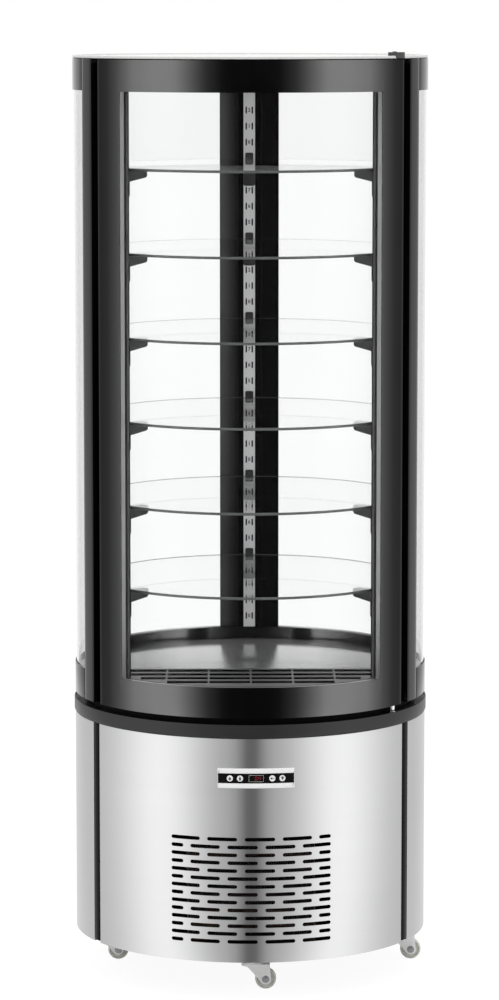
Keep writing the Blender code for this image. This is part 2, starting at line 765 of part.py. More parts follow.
def vent_slots():
    """Brick pattern of slots: each second row is the mirror image of the first."""
    half_field = SLOT_FIELD / 2 / CASE_RADIUS
    slots = []
    for row in range(SLOT_ROWS):
        height = BASE_BOTTOM + SLOT_MARGIN + row * SLOT_ROW_PITCH
        side = 1 if row % 2 else -1
        start = -half_field
        while start < half_field - SLOT_HEIGHT / CASE_RADIUS:
            end = min(start + SLOT_LENGTH / CASE_RADIUS, half_field)
            middle = side * (start + end) / 2
            half = CASE_RADIUS * (end - start) / 2
            slot = box((-half, -CASE_RADIUS - OVERRUN, -SLOT_HEIGHT / 2),
                       (half, -PANEL_INNER + OVERRUN, SLOT_HEIGHT / 2))
            slots.append(moved(slot, facing(middle, height)))
            start += SLOT_PITCH / CASE_RADIUS
    return merged(slots)


CONTROL_AZIMUTH = CONTROL_OFFSET / CASE_RADIUS
CONTROL_Z = BASE_TOP - CONTROL_DROP


def control_slab(width, height, inner, outer):
    half = width / 2 / CASE_RADIUS
    return slab(inner, outer, CONTROL_AZIMUTH - half, CONTROL_AZIMUTH + half,
                CONTROL_Z - height / 2, CONTROL_Z + height / 2)


def build_panels():
    edge = (UPRIGHT_WIDTH / 2 + RADIAL_FIT) / FLANGE_RADIUS
    left, right, rear = UPRIGHT_AZIMUTHS
    front = add_part("base_front_panel", panel_mesh(left + edge, right - edge), "brushed_steel")
    cut(front, vent_slots(), "vent_slots")
    opening = control_slab(BODY_WIDTH + CUTOUT_PLAY * 2, BODY_HEIGHT + CUTOUT_PLAY * 2,
                           PANEL_INNER - OVERRUN, CASE_RADIUS + OVERRUN)
    cut(front, opening, "controller_opening")
    add_part("base_left_panel", panel_mesh(rear + edge, left + TURN - edge), "brushed_steel")
    side = add_part("base_right_panel", panel_mesh(right + edge, rear - edge), "brushed_steel")
    half_wide, half_tall = INLET_WIDTH / 2 + CUTOUT_PLAY, INLET_TALL / 2 + CUTOUT_PLAY
    hole = box((-half_wide, -CASE_RADIUS - OVERRUN, -half_tall),
               (half_wide, -PANEL_INNER + OVERRUN, half_tall))
    cut(side, moved(hole, facing(INLET_AZIMUTH, BASE_BOTTOM + INLET_HEIGHT)), "inlet_opening")


def build_belt():
    outer = CASE_RADIUS + BELT_PROUD
    inner = outer - BELT_DEPTH
    profile = [
        (outer - BELT_WALL, BELT_TOP),
        (outer, BELT_TOP),
        (outer, BASE_TOP),
        (inner, BASE_TOP),
        (inner, BELT_FLOOR),
        (outer - BELT_WALL, BELT_FLOOR),
    ]
    turned("belt_ring", profile, "black_paint", closed=True)


# Controller


def button_azimuth(offset):
    return CONTROL_AZIMUTH + offset / CASE_RADIUS


WINDOW_OUTER = CASE_RADIUS + FIT + BEZEL_SHEET + FIT
WINDOW_INNER = WINDOW_OUTER - WINDOW_SHEET
BUTTON_FACE = WINDOW_OUTER + BUTTON_PROUD
BUTTON_BACK = BUTTON_FACE - BUTTON_LENGTH


def button_holes(inner):
    bores = []
    for offset in BUTTON_OFFSETS.values():
        bore = cylinder(BUTTON_RADIUS + BUTTON_PLAY, inner, WINDOW_OUTER + OVERRUN)
        bores.append(outward(bore, button_azimuth(offset), CONTROL_Z))
    return merged(bores)


def build_controller():
    bezel_inner = CASE_RADIUS + FIT
    face = control_slab(BEZEL_WIDTH, BEZEL_HEIGHT, bezel_inner, bezel_inner + BEZEL_SHEET)
    bezel = add_part("control_bezel", face, "light_plastic")
    housing = control_slab(BODY_WIDTH, BODY_HEIGHT, CASE_RADIUS - BODY_DEPTH, bezel_inner + OVERLAP)
    join(bezel, housing, "housing")
    recess = control_slab(WINDOW_WIDTH + FIT * 2, WINDOW_HEIGHT + FIT * 2,
                          WINDOW_INNER - FIT, WINDOW_OUTER + OVERRUN)
    cut(bezel, recess, "window_recess")
    cut(bezel, button_holes(BUTTON_BACK - BUTTON_TRAVEL * 2), "button_holes")
    window = add_part("control_window", control_slab(WINDOW_WIDTH, WINDOW_HEIGHT, WINDOW_INNER, WINDOW_OUTER),
                      "window_black")
    cut(window, button_holes(BUTTON_BACK), "button_holes")
    for name, offset in BUTTON_OFFSETS.items():
        azimuth = button_azimuth(offset)
        pivot = add_pivot(name + "_slide", polar(BUTTON_FACE, azimuth, CONTROL_Z))
        mesh = outward(cylinder(BUTTON_RADIUS, BUTTON_BACK, BUTTON_FACE), azimuth, CONTROL_Z)
        smooth(add_part(name, mesh, "light_plastic", pivot))


# Machinery


def build_compressor():
    place = COMPRESSOR_PLACE
    foot_bottom = TRAY_TOP + FIT
    foot_top = foot_bottom + COMPRESSOR_FOOT_SHEET
    top = foot_top + COMPRESSOR_HEIGHT
    shoulder = COMPRESSOR_RADIUS - COMPRESSOR_DOME
    profile = [
        (0.0, top),
        (shoulder, top),
        (COMPRESSOR_RADIUS, top - COMPRESSOR_DOME),
        (COMPRESSOR_RADIUS, foot_top + COMPRESSOR_DOME),
        (shoulder, foot_top - COMPRESSOR_FOOT_SHEET / 2),
        (0.0, foot_top - COMPRESSOR_FOOT_SHEET / 2),
    ]
    half = COMPRESSOR_FOOT / 2
    foot = moved(box((-half, -half, foot_bottom), (half, half, foot_top)), Matrix.Translation(place))
    body = add_part("compressor", foot, "black_paint")
    join(body, moved(turned_mesh(profile, SMALL_FACETS), Matrix.Translation(place)), "can")


CONDENSER_BACK = -(CONDENSER_FRONT - CONDENSER_DEPTH)
CONDENSER_BOTTOM = TRAY_TOP + FIT
CONDENSER_FAN_Z = CONDENSER_BOTTOM + CONDENSER_HEIGHT / 2
SHROUD_FRONT = CONDENSER_BACK + FIT
SHROUD_BACK = SHROUD_FRONT + SHROUD_DEPTH


def build_condenser():
    half = CONDENSER_WIDTH / 2
    block = add_part("condenser", box((-half, -CONDENSER_FRONT, CONDENSER_BOTTOM),
                                      (half, CONDENSER_BACK, CONDENSER_BOTTOM + CONDENSER_HEIGHT)), "fins")
    pitch = CONDENSER_WIDTH / (CONDENSER_GROOVES + 1)
    grooves = []
    for index in range(CONDENSER_GROOVES):
        middle = -half + (index + 1) * pitch
        grooves.append(box(
            (middle - CONDENSER_GROOVE / 2, -CONDENSER_FRONT - OVERRUN, CONDENSER_BOTTOM + CONDENSER_GROOVE),
            (middle + CONDENSER_GROOVE / 2, -CONDENSER_FRONT + CONDENSER_GROOVE_DEPTH,
             CONDENSER_BOTTOM + CONDENSER_HEIGHT - CONDENSER_GROOVE),
        ))
    cut(block, merged(grooves), "grooves")


def build_condenser_shroud():
    """Frame behind the condenser: a tunnel for the fan, with three struts that hold the motor."""
    half = CONDENSER_WIDTH / 2
    low, high = CONDENSER_BOTTOM, CONDENSER_BOTTOM + CONDENSER_HEIGHT
    block = box((-half, SHROUD_FRONT, low), (half, SHROUD_BACK, high))
    shroud = add_part("condenser_shroud", block, "black_paint")
    centre = Matrix.Translation((0.0, 0.0, CONDENSER_FAN_Z))
    tunnel = across(cylinder(FAN_RADIUS + FAN_CLEARANCE, -SHROUD_BACK - OVERRUN, -SHROUD_FRONT + OVERRUN,
                             SMALL_FACETS))
    cut(shroud, moved(tunnel, centre), "tunnel")
    strut_front = SHROUD_BACK - OVERLAP
    strut_back = SHROUD_BACK + MOTOR_STRUT
    reach = FAN_RADIUS + FAN_CLEARANCE * 2
    strut = box((-reach, strut_front, -MOTOR_STRUT / 2), (reach, strut_back, MOTOR_STRUT / 2))
    join(shroud, moved(strut, centre), "strut")
    motor = across(cylinder(MOTOR_RADIUS, -strut_back - MOTOR_LENGTH, -strut_front - MOTOR_STRUT / 2,
                            PIN_FACETS))
    join(shroud, moved(motor, centre), "motor")
    shaft = across(cylinder(SHAFT_RADIUS, -strut_back, -SHROUD_FRONT - FAN_CLEARANCE, PIN_FACETS))
    join(shroud, moved(shaft, centre), "shaft")


def fan_mesh(radius, hub_radius, hub_length, blade_sheet):
    """Hub and pitched blades about the local Z axis, as one list of meshes to join."""
    hub = cylinder(hub_radius, -hub_length / 2, hub_length / 2, PIN_FACETS)
    blades = []
    chord = hub_length * 1.2
    for index in range(FAN_BLADES):
        blade = box((hub_radius - hub_radius / FAN_BLADES, -chord / 2, -blade_sheet / 2),
                    (radius, chord / 2, blade_sheet / 2))
        about_hub = Matrix.Rotation(TURN * index / FAN_BLADES, 4, "Z")
        blades.append(moved(blade, about_hub @ Matrix.Rotation(FAN_BLADE_PITCH, 4, "X")))
    return hub, merged(blades)


def add_fan(name, place, turn, scale, parent):
    """A fan whose axis is given by a rotation, bored for its shaft."""
    at = Matrix.Translation(place) @ turn
    hub, blades = fan_mesh(FAN_RADIUS * scale, FAN_HUB_RADIUS * scale, FAN_HUB_LENGTH * scale,
                           FAN_BLADE_SHEET)
    fan = add_part(name, moved(hub, at), "black_plastic", parent)
    join(fan, moved(blades, at), "blades")
    reach = FAN_HUB_LENGTH
    cut(fan, moved(cylinder(SHAFT_RADIUS + SHAFT_PLAY, -reach, reach), at), "bore")
    return fan


def build_condenser_fan():
    middle = (SHROUD_FRONT + SHROUD_BACK) / 2
    place = Vector((0.0, middle, CONDENSER_FAN_Z))
    pivot = add_pivot("condenser_fan_spin", place)
    add_fan("condenser_fan", place, Matrix.Rotation(QUARTER, 4, "X"), 1.0, pivot)


WELL_FLOOR = CABIN_BOTTOM - WELL_DEPTH
COIL_BOTTOM = WELL_FLOOR + FIT
COIL_TOP = COIL_BOTTOM + COIL_HEIGHT


def build_evaporator():
    half = COIL_LENGTH / 2
    block = box((-half, -COIL_BACK - COIL_WIDTH, COIL_BOTTOM), (half, -COIL_BACK, COIL_TOP))
    coil = add_part("evaporator_coil", block, "fins")
    scale = EVAPORATOR_FAN_SCALE_SHARE
    middle = COIL_BOTTOM + COIL_HEIGHT / 2
    fan_y = -COIL_BACK + FAN_HUB_LENGTH + MOTOR_STRUT
    shaft = across(cylinder(SHAFT_RADIUS, -fan_y - FAN_HUB_LENGTH / 2, COIL_BACK + OVERLAP))
    motor = across(cylinder(MOTOR_RADIUS / 2, COIL_BACK - MOTOR_STRUT, COIL_BACK + OVERLAP))
    centre = Matrix.Translation((0.0, 0.0, middle))
    join(coil, moved(motor, centre), "motor")
    join(coil, moved(shaft, centre), "shaft")
    place = Vector((0.0, fan_y, middle))
    pivot = add_pivot("evaporator_fan_spin", place)
    add_fan("evaporator_fan", place, Matrix.Rotation(QUARTER, 4, "X"), scale, pivot)


def build_cabin_floor():
    top = CABIN_BOTTOM - FIT
    profile = [
        (0.0, WELL_FLOOR),
        (WELL_RADIUS, WELL_FLOOR),
        (WELL_RADIUS, top),
        (FLOOR_RADIUS, top),
        (FLOOR_RADIUS, BASE_TOP),
        (WELL_RADIUS + WELL_WALL, BASE_TOP),
        (WELL_RADIUS + WELL_WALL, WELL_FLOOR - WELL_WALL),
        (0.0, WELL_FLOOR - WELL_WALL),
    ]
    turned("cabin_floor", profile, "foam_skin", facets=HIDDEN_FACETS)


def build_inlet():
    half_wide, half_tall = INLET_WIDTH / 2, INLET_TALL / 2
    face = CASE_RADIUS + FIT
    turn = facing(INLET_AZIMUTH, BASE_BOTTOM + INLET_HEIGHT)
    flange = box((-half_wide - INLET_FLANGE, -face - INLET_FLANGE_SHEET, -half_tall - INLET_FLANGE),
                 (half_wide + INLET_FLANGE, -face, half_tall + INLET_FLANGE))
    body = box((-half_wide, -face - OVERLAP, -half_tall), (half_wide, -face + INLET_BODY_DEPTH, half_tall))
    wide, tall = half_wide * INLET_WELL_SHARE, half_tall * INLET_WELL_SHARE
    well = box((-wide, -face - OVERRUN, -tall), (wide, -face + INLET_WELL_DEPTH, tall))
    inlet = add_part("power_inlet", moved(flange, turn), "black_plastic")
    join(inlet, moved(body, turn), "body")
    cut(inlet, moved(well, turn), "socket")


# Cabin rings, posts and column


def build_lower_ring():
    """Seat for the door all round, and behind the posts a channel that holds the glass."""
    seat = [
        (SEAT_INNER_RADIUS, SEAT_TOP),
        (SEAT_RADIUS, SEAT_TOP),
        (SEAT_RADIUS, CABIN_BOTTOM),
        (SEAT_INNER_RADIUS, CABIN_BOTTOM),
    ]
    ring = turned("lower_ring", seat, "black_paint", closed=True)
    channel = [
        (RING_BODY_RADIUS, CABIN_BOTTOM),
        (CASE_RADIUS, CABIN_BOTTOM),
        (CASE_RADIUS, LOWER_BAND_TOP),
        (CASE_RADIUS - RING_WALL, LOWER_BAND_TOP),
        (CASE_RADIUS - RING_WALL, CHANNEL_FLOOR),
        (LIP_RADIUS, CHANNEL_FLOOR),
        (LIP_RADIUS, LOWER_LIP_TOP),
        (RING_BODY_RADIUS, LOWER_LIP_TOP),
    ]
    start = POST_FAR_ANGLE + RADIAL_FIT / CASE_RADIUS
    join(ring, swept(channel, start, TURN - start), "channel")


def build_upper_ring():
    ledge = CEILING_LEDGE_HEIGHT
    seat = [
        (SEAT_INNER_RADIUS, CABIN_TOP),
        (SEAT_RADIUS, CABIN_TOP),
        (SEAT_RADIUS, UPPER_BAND_BOTTOM),
        (SEAT_INNER_RADIUS - CEILING_LEDGE, UPPER_BAND_BOTTOM),
        (SEAT_INNER_RADIUS - CEILING_LEDGE, UPPER_BAND_BOTTOM + ledge),
        (SEAT_INNER_RADIUS, UPPER_BAND_BOTTOM + ledge),
    ]
    ring = turned("upper_ring", seat, "black_paint", closed=True)
    channel = [
        (RING_BODY_RADIUS, UPPER_BAND_BOTTOM - RING_WALL),
        (LIP_RADIUS, UPPER_BAND_BOTTOM - RING_WALL),
        (LIP_RADIUS, CHANNEL_ROOF),
        (CASE_RADIUS - RING_WALL, CHANNEL_ROOF),
        (CASE_RADIUS - RING_WALL, UPPER_BAND_BOTTOM),
        (CASE_RADIUS, UPPER_BAND_BOTTOM),
        (CASE_RADIUS, CABIN_TOP - OVERLAP),
        (RING_BODY_RADIUS, CABIN_TOP - OVERLAP),
    ]
    start = POST_FAR_ANGLE + RADIAL_FIT / CASE_RADIUS
    join(ring, swept(channel, start, TURN - start), "channel")


def build_ceiling():
    low = UPPER_BAND_BOTTOM + CEILING_LEDGE_HEIGHT + FIT
    disc = cylinder(SEAT_INNER_RADIUS - RADIAL_FIT, low, low + CEILING_SHEET, RING_FACETS)
    add_part("ceiling_panel", disc, "white_paint")


def build_cover():
    cover = add_part("top_cover", cylinder(CASE_RADIUS - COVER_INSET, COVER_BOTTOM, COVER_TOP, RING_FACETS),
                     "bright_steel")
    hole = cylinder(TOP_PIN_RADIUS + PIN_CLEARANCE, COVER_BOTTOM - OVERRUN, COVER_TOP + OVERRUN,
                    centre=PIVOT)
    cut(cover, hole, "pin_hole")


def mirrored(points, side):
    """Outline for one side: the right-hand one as it is, the left-hand one turned over."""
    return points if side > 0 else [(-point[0], point[1]) for point in reversed(points)]


def web_point(along, depth):
    """A point in the flat seat of the front brackets, given along the seat and out from the axis."""
    tangent = Vector((math.cos(FRONT_BRACKET_AZIMUTH), math.sin(FRONT_BRACKET_AZIMUTH), 0.0))
    return polar(depth, FRONT_BRACKET_AZIMUTH) + tangent * along


def build_post(name, side):
    """Hollow black post, with a web that carries the brackets and meets the door's gasket."""
    near, far = POST_NEAR_ANGLE, POST_FAR_ANGLE
    wall_angle = POST_WALL / CASE_RADIUS
    outer = arc(CASE_RADIUS, near, far) + arc(POST_INNER_RADIUS, far, near)
    hole = (arc(CASE_RADIUS - POST_WALL, near + wall_angle, far - wall_angle)
            + arc(POST_INNER_RADIUS + POST_WALL, far - wall_angle, near + wall_angle))
    low, high = CABIN_BOTTOM, CABIN_TOP
    post = add_part(name, plate(mirrored(outer, side), low, high, [mirrored(hole, side)]), "black_paint")
    web_start, web_end = near + wall_angle / 2, near + POST_WEB_LAP
    web = [
        web_point(-POST_TIP_REACH, RAIL_FACE),
        web_point(-POST_TIP_REACH, RAIL_FACE + POST_WEB),
        *arc(SEAT_RADIUS, FRONT_BRACKET_AZIMUTH, web_start),
        polar(POST_INNER_RADIUS + POST_WALL / 2, web_start),
        polar(POST_INNER_RADIUS + POST_WALL / 2, web_end),
        polar(RAIL_FACE, web_end),
        web_point(POST_TIP_REACH, RAIL_FACE),
    ]
    bottom, top = SEAT_TOP + FIT, UPPER_BAND_BOTTOM - FIT
    join(post, plate(mirrored(web, side), bottom, top), "web")
    join_brackets(post, side * FRONT_BRACKET_AZIMUTH)


def build_lights():
    middle = (POST_NEAR_ANGLE + POST_WEB_LAP + POST_FAR_ANGLE) / 2
    outer = POST_INNER_RADIUS * math.cos(ARC_STEP / 2) - FIT
    half = LIGHT_WIDTH / 2
    low = LOWER_LIP_TOP + LIGHT_END_GAP
    high = UPPER_BAND_BOTTOM - LIGHT_END_GAP
    inner = outer - LIGHT_DEPTH
    shoulder = outer - LIGHT_DEPTH / 2
    outline = [
        (-half, -outer), (half, -outer), (half, -shoulder),
        (half / 2, -inner), (-half / 2, -inner), (-half, -shoulder),
    ]
    for side, word in ((-1, "left"), (1, "right")):
        add_part("light_strip_" + word, moved(plate(outline, low, high), facing(side * middle)), "diffuser")


COLUMN_NECK = COLUMN_WIDTH / 2 - COLUMN_SHOULDER
COLUMN_SHOULDER_FACE = math.sqrt((INNER_PANE - GLASS) ** 2 - (COLUMN_WIDTH / 2) ** 2) - RADIAL_FIT


def column_outline(front, inset, back):
    """Duct in plan: wide at the front, and narrower from the shoulders that the side glass laps."""
    half, neck, shoulder = COLUMN_WIDTH / 2 - inset, COLUMN_NECK - inset, COLUMN_SHOULDER_FACE - inset
    corner = math.asin(neck / back)
    rear = [polar(back, math.pi + angle) for angle in (-corner, -corner / 3, corner / 3, corner)]
    return [
        (-half, front),
        (half, front),
        (half, shoulder),
        (neck, shoulder),
        *[(point.x, point.y) for point in rear],
        (-neck, shoulder),
        (-half, shoulder),
    ]


def build_column():
    """Hollow duct, with a rear skin that reaches into both glass channels."""
    low, high = LOWER_LIP_TOP + FIT, UPPER_BAND_BOTTOM - RING_WALL - FIT
    duct = column_outline(COLUMN_FACE, 0.0, OUTER_PANE)
    hole = column_outline(COLUMN_FACE + COLUMN_WALL, COLUMN_WALL, OUTER_PANE - COLUMN_WALL)
    column = add_part("rear_column", plate(duct, low, high, [hole]), "black_paint")
    corner = math.asin(COLUMN_NECK / OUTER_PANE)
    inner = OUTER_PANE - COLUMN_WALL
    skin = [polar(OUTER_PANE, math.pi + angle) for angle in (-corner, -corner / 3, corner / 3, corner)]
    skin += [polar(inner, math.pi + angle) for angle in (corner, corner / 3, -corner / 3, -corner)]
    join(column, plate(skin, CHANNEL_FLOOR + FIT, CHANNEL_ROOF - FIT), "skin")


def build_rack_strip():
    low, high = LOWER_LIP_TOP + FIT, UPPER_BAND_BOTTOM - RING_WALL - FIT
    half = STRIP_WIDTH / 2
    strip = add_part("rack_strip", box((-half, RAIL_FACE, low), (half, RAIL_FACE + STRIP_SHEET, high)),
                     "white_paint")
    count = math.floor((high - low - RACK_END_MARGIN * 2) / RACK_PITCH) + 1
    holes = []
    for index in range(count):
        middle = low + RACK_END_MARGIN + index * RACK_PITCH
        for side in (-1, 1):
            left = side * RACK_HOLE_SPACING / 2 - RACK_HOLE_WIDTH / 2
            foot = middle - RACK_HOLE_HEIGHT / 2
            holes.append(box((left, RAIL_FACE - OVERRUN, foot),
                             (left + RACK_HOLE_WIDTH, COLUMN_FACE + OVERRUN, foot + RACK_HOLE_HEIGHT)))
    cut(strip, merged(holes), "rack_holes")
    join_brackets(strip, REAR_BRACKET_AZIMUTH)


# Glass sides


COLUMN_HALF_ANGLE = math.asin(COLUMN_NECK / INNER_PANE) + (RADIAL_FIT * 2) / INNER_PANE


def spacer_frame(outer, start, end, low, high):
    """Hollow bars round a curved pair of panes, as a frame with its window cut out."""
    inner = outer - SPACER_DEPTH
    lap = SPACER_WIDTH / outer
    window = slab(inner - OVERRUN, outer + OVERRUN, start + lap, end - lap,
                  low + SPACER_WIDTH, high - SPACER_WIDTH)
    return slab(inner, outer, start, end, low, high), window


def build_side_glass():
    """On each side two panes with spacer bars between them."""
    start = POST_FAR_ANGLE + RADIAL_FIT / INNER_PANE * 2
    end = math.pi - COLUMN_HALF_ANGLE
    low, high = CHANNEL_FLOOR + FIT, CHANNEL_ROOF - FIT
    for side, word in ((-1, "left"), (1, "right")):
        first, last = sorted((side * start, side * end))
        for layer, outer in (("outer", OUTER_PANE), ("inner", INNER_PANE)):
            pane = slab(outer - GLASS, outer, first, last, low, high)
            smooth(add_part("side_glass_" + word + "_" + layer, pane, "glass"))
        bars, window = spacer_frame(SPACER_OUTER, first, last, low, high)
        spacer = add_part("side_glass_" + word + "_spacer", bars, "spacer_aluminium")
        cut(spacer, window, "window")


# Deck


def disc_part(radius, chord, front):
    """Outline of a disc on one side of a straight edge that lies in front of the axis."""
    corner = math.acos(chord / radius)
    if front:
        return arc(radius, -corner, corner)
    return arc(radius, corner, TURN - corner)


def build_deck():
    rear_sheet = plate(disc_part(DECK_RADIUS, DECK_FRONT_EDGE - FIT, False), DECK_BOTTOM, DECK_TOP)
    add_part("deck_plate", rear_sheet, "brushed_steel")
    front_sheet = plate(disc_part(DECK_RADIUS, DECK_FRONT_EDGE, True), DECK_BOTTOM, DECK_TOP)
    grille = add_part("deck_grille", front_sheet, "brushed_steel")
    slots = []
    reach = DECK_RADIUS - GRILLE_RIM
    row_pitch = (DECK_RADIUS - GRILLE_FRONT_RIM - DECK_FRONT_EDGE) / GRILLE_ROWS
    for row in range(GRILLE_ROWS):
        back = -(DECK_FRONT_EDGE + GRILLE_MARGIN + row * row_pitch)
        front = back - GRILLE_SLOT_WIDTH
        half_row = math.sqrt(reach * reach - front * front)
        for bay in range(GRILLE_BAYS):
            left = (bay - GRILLE_BAYS / 2) * GRILLE_BAY_PITCH + GRILLE_BAR / 2
            right = left + GRILLE_BAY_PITCH - GRILLE_BAR
            left, right = max(left, -half_row), min(right, half_row)
            if right - left > GRILLE_SLOT_WIDTH / 2:
                slots.append(box((left, front, DECK_BOTTOM - OVERRUN), (right, back, DECK_TOP + OVERRUN)))
    cut(grille, merged(slots), "slots")


# Shelves and brackets


def shelf_top(index):
    return CABIN_BOTTOM + LOWEST_SHELF_HEIGHT + index * SHELF_STEPS * RACK_PITCH


def bracket_meshes(azimuth, top):
    """Plate with its tab, and the arm that the shelf lies on."""
    under = top - SHELF_GLASS - FIT
    half, half_tab = BRACKET_WIDTH / 2, BRACKET_TAB_WIDTH / 2
    front = RAIL_FACE - BRACKET_PLATE
    bottom = top - BRACKET_DROP
    tab_top = top + BRACKET_TAB_RISE
    face = [
        (-half, bottom), (half, bottom), (half, under), (half_tab, under),
        (half_tab, tab_top), (-half_tab, tab_top), (-half_tab, under), (-half, under),
    ]
    stand = Matrix.Rotation(QUARTER, 4, "X")
    back_plate = moved(plate(face, front, RAIL_FACE + OVERLAP), facing(azimuth) @ stand)
    arm = [
        (BRACKET_ARM_TIP_RADIUS, under),
        (BRACKET_ARM_TIP_RADIUS, under - BRACKET_TIP_HEIGHT),
        (front + OVERLAP, under - BRACKET_ROOT_HEIGHT),
        (front + OVERLAP, under),
    ]
    return back_plate, moved(upright_plate(arm, BRACKET_ARM_WIDTH), facing(azimuth))


def join_brackets(rail, azimuth):
    """One bracket for each shelf, joined to the piece that they hang on."""
    pairs = [bracket_meshes(azimuth, shelf_top(index)) for index in range(SHELF_COUNT)]
    backs, arms = zip(*pairs)
    join(rail, merged(backs), "bracket_plates")
    join(rail, merged(arms), "bracket_arms")


def build_shelves():
    for index in range(SHELF_COUNT):
        top = shelf_top(index)
        disc = cylinder(SHELF_RADIUS, top - SHELF_GLASS, top, SHELF_FACETS)
        smooth(add_part("shelf_" + str(index + 1), disc, "glass"))


# Door


WINDOW_BOTTOM = LOWER_BAND_TOP
WINDOW_TOP = UPPER_BAND_BOTTOM


def door_slab(inner, outer, half_angle, low, high):
    return slab(inner, outer, -half_angle, half_angle, low, high)


def pivot_bosses():
    """Solid blocks in the hinge corners of the frame, for the two pins."""
    wall_angle = DOOR_WALL / CASE_RADIUS / 2
    end = DOOR_HALF_ANGLE - wall_angle
    start = end - PIVOT_BOSS_WIDTH / PIVOT_RADIUS
    inner, outer = POCKET_RADIUS, CASE_RADIUS - DOOR_SKIN / 2
    edge = DOOR_WALL / 2
    low = slab(inner, outer, start, end, CABIN_BOTTOM + edge, CABIN_BOTTOM + PIVOT_BOSS_HEIGHT)
    high = slab(inner, outer, start, end, DOOR_TOP - PIVOT_BOSS_HEIGHT, DOOR_TOP - edge)
    return merged([low, high])


def build_door(pivot):
    low, high = CABIN_BOTTOM, DOOR_TOP
    frame = add_part("door_frame", door_slab(POCKET_RADIUS, CASE_RADIUS, DOOR_HALF_ANGLE, low, high),
                     "black_paint", pivot)
    opening = door_slab(POCKET_RADIUS - OVERRUN, CASE_RADIUS + OVERRUN, WINDOW_HALF_ANGLE,
                        WINDOW_BOTTOM, WINDOW_TOP)
    cut(frame, opening, "window")
    wall_angle = DOOR_WALL / CASE_RADIUS
    cut(frame, door_slab(POCKET_RADIUS - OVERRUN, CASE_RADIUS - DOOR_SKIN, DOOR_HALF_ANGLE - wall_angle,
                         low + DOOR_WALL, high - DOOR_WALL), "pocket")
    join(frame, pivot_bosses(), "bosses")
    depth = PIN_DEPTH + OVERRUN / 2
    bores = merged([
        cylinder(TOP_PIN_RADIUS + PIN_CLEARANCE, high - depth, high + OVERRUN, centre=PIVOT),
        cylinder(BOTTOM_PIN_RADIUS + PIN_CLEARANCE, low - OVERRUN, low + depth, centre=PIVOT),
    ])
    cut(frame, bores, "pin_bores")

    liner = add_part("door_liner", door_slab(DOOR_INNER_RADIUS, LINER_RADIUS, DOOR_HALF_ANGLE, low, high),
                     "black_plastic", pivot)
    hidden = DOOR_EDGE_HIDDEN
    cut(liner, door_slab(DOOR_INNER_RADIUS - OVERRUN, LINER_RADIUS + OVERRUN, DOOR_REVEAL_ANGLE,
                         WINDOW_BOTTOM - hidden, WINDOW_TOP + hidden), "window")

    spacer_half = DOOR_REVEAL_ANGLE + SPACER_WIDTH / DOOR_SPACER_OUTER
    spacer_low, spacer_high = WINDOW_BOTTOM - hidden - SPACER_WIDTH, WINDOW_TOP + hidden + SPACER_WIDTH
    bars, opening = spacer_frame(DOOR_SPACER_OUTER, -spacer_half, spacer_half, spacer_low, spacer_high)
    spacer = add_part("door_glass_spacer", bars, "spacer_aluminium", pivot)
    cut(spacer, opening, "window")

    pane_half = spacer_half + GLASS_BITE / DOOR_SPACER_OUTER
    pane_low, pane_high = spacer_low - GLASS_BITE, spacer_high + GLASS_BITE
    for name, outer in (("door_glass_outer", DOOR_OUTER_PANE), ("door_glass_inner", DOOR_INNER_PANE)):
        pane = door_slab(outer - GLASS, outer, pane_half, pane_low, pane_high)
        smooth(add_part(name, pane, "glass", pivot))

    near = DOOR_REVEAL_ANGLE + GASKET_SETBACK / SEAT_RADIUS
    far = near + GASKET_WIDTH / SEAT_RADIUS
    gap_low, gap_high = WINDOW_BOTTOM - GASKET_SETBACK, WINDOW_TOP + GASKET_SETBACK
    gasket = add_part("door_gasket", door_slab(GASKET_INNER, GASKET_OUTER, far, gap_low - GASKET_WIDTH,
                                               gap_high + GASKET_WIDTH), "rubber", pivot)
    cut(gasket, door_slab(GASKET_INNER - OVERRUN, GASKET_OUTER + OVERRUN, near, gap_low, gap_high), "window")


def build_hinges():
    block_middle = PIVOT_RADIUS + HINGE_BLOCK_SHIFT
    half_wide, half_deep = HINGE_BLOCK_WIDTH / 2, HINGE_BLOCK_DEPTH / 2
    low, turn = COVER_TOP + FIT, facing(PIVOT_AZIMUTH)
    high = low + HINGE_BLOCK_HEIGHT
    rim, back = CASE_RADIUS - COVER_INSET + FIT, half_deep - block_middle
    block = box((-half_wide, -rim - HINGE_LIP, COVER_BOTTOM), (half_wide, back, high))
    top = add_part("door_hinge_top", moved(block, turn), "black_paint")
    rebate = box((-half_wide - OVERRUN, -rim, COVER_BOTTOM - OVERRUN),
                 (half_wide + OVERRUN, back + OVERRUN, low))
    cut(top, moved(rebate, turn), "rebate")
    pin = cylinder(TOP_PIN_RADIUS, DOOR_TOP - PIN_DEPTH, low + HINGE_BLOCK_HEIGHT / 2, centre=PIVOT)
    join(top, pin, "pin")

    flange_low = BELT_FLOOR + FIT
    flange = cylinder(PIVOT_FLANGE_RADIUS, flange_low, flange_low + PIVOT_FLANGE_HEIGHT, centre=PIVOT)
    bottom = add_part("door_hinge_bottom", flange, "bright_steel")
    pin_low = flange_low + PIVOT_FLANGE_HEIGHT / 2
    join(bottom, cylinder(BOTTOM_PIN_RADIUS, pin_low, CABIN_BOTTOM + PIN_DEPTH, centre=PIVOT), "pin")


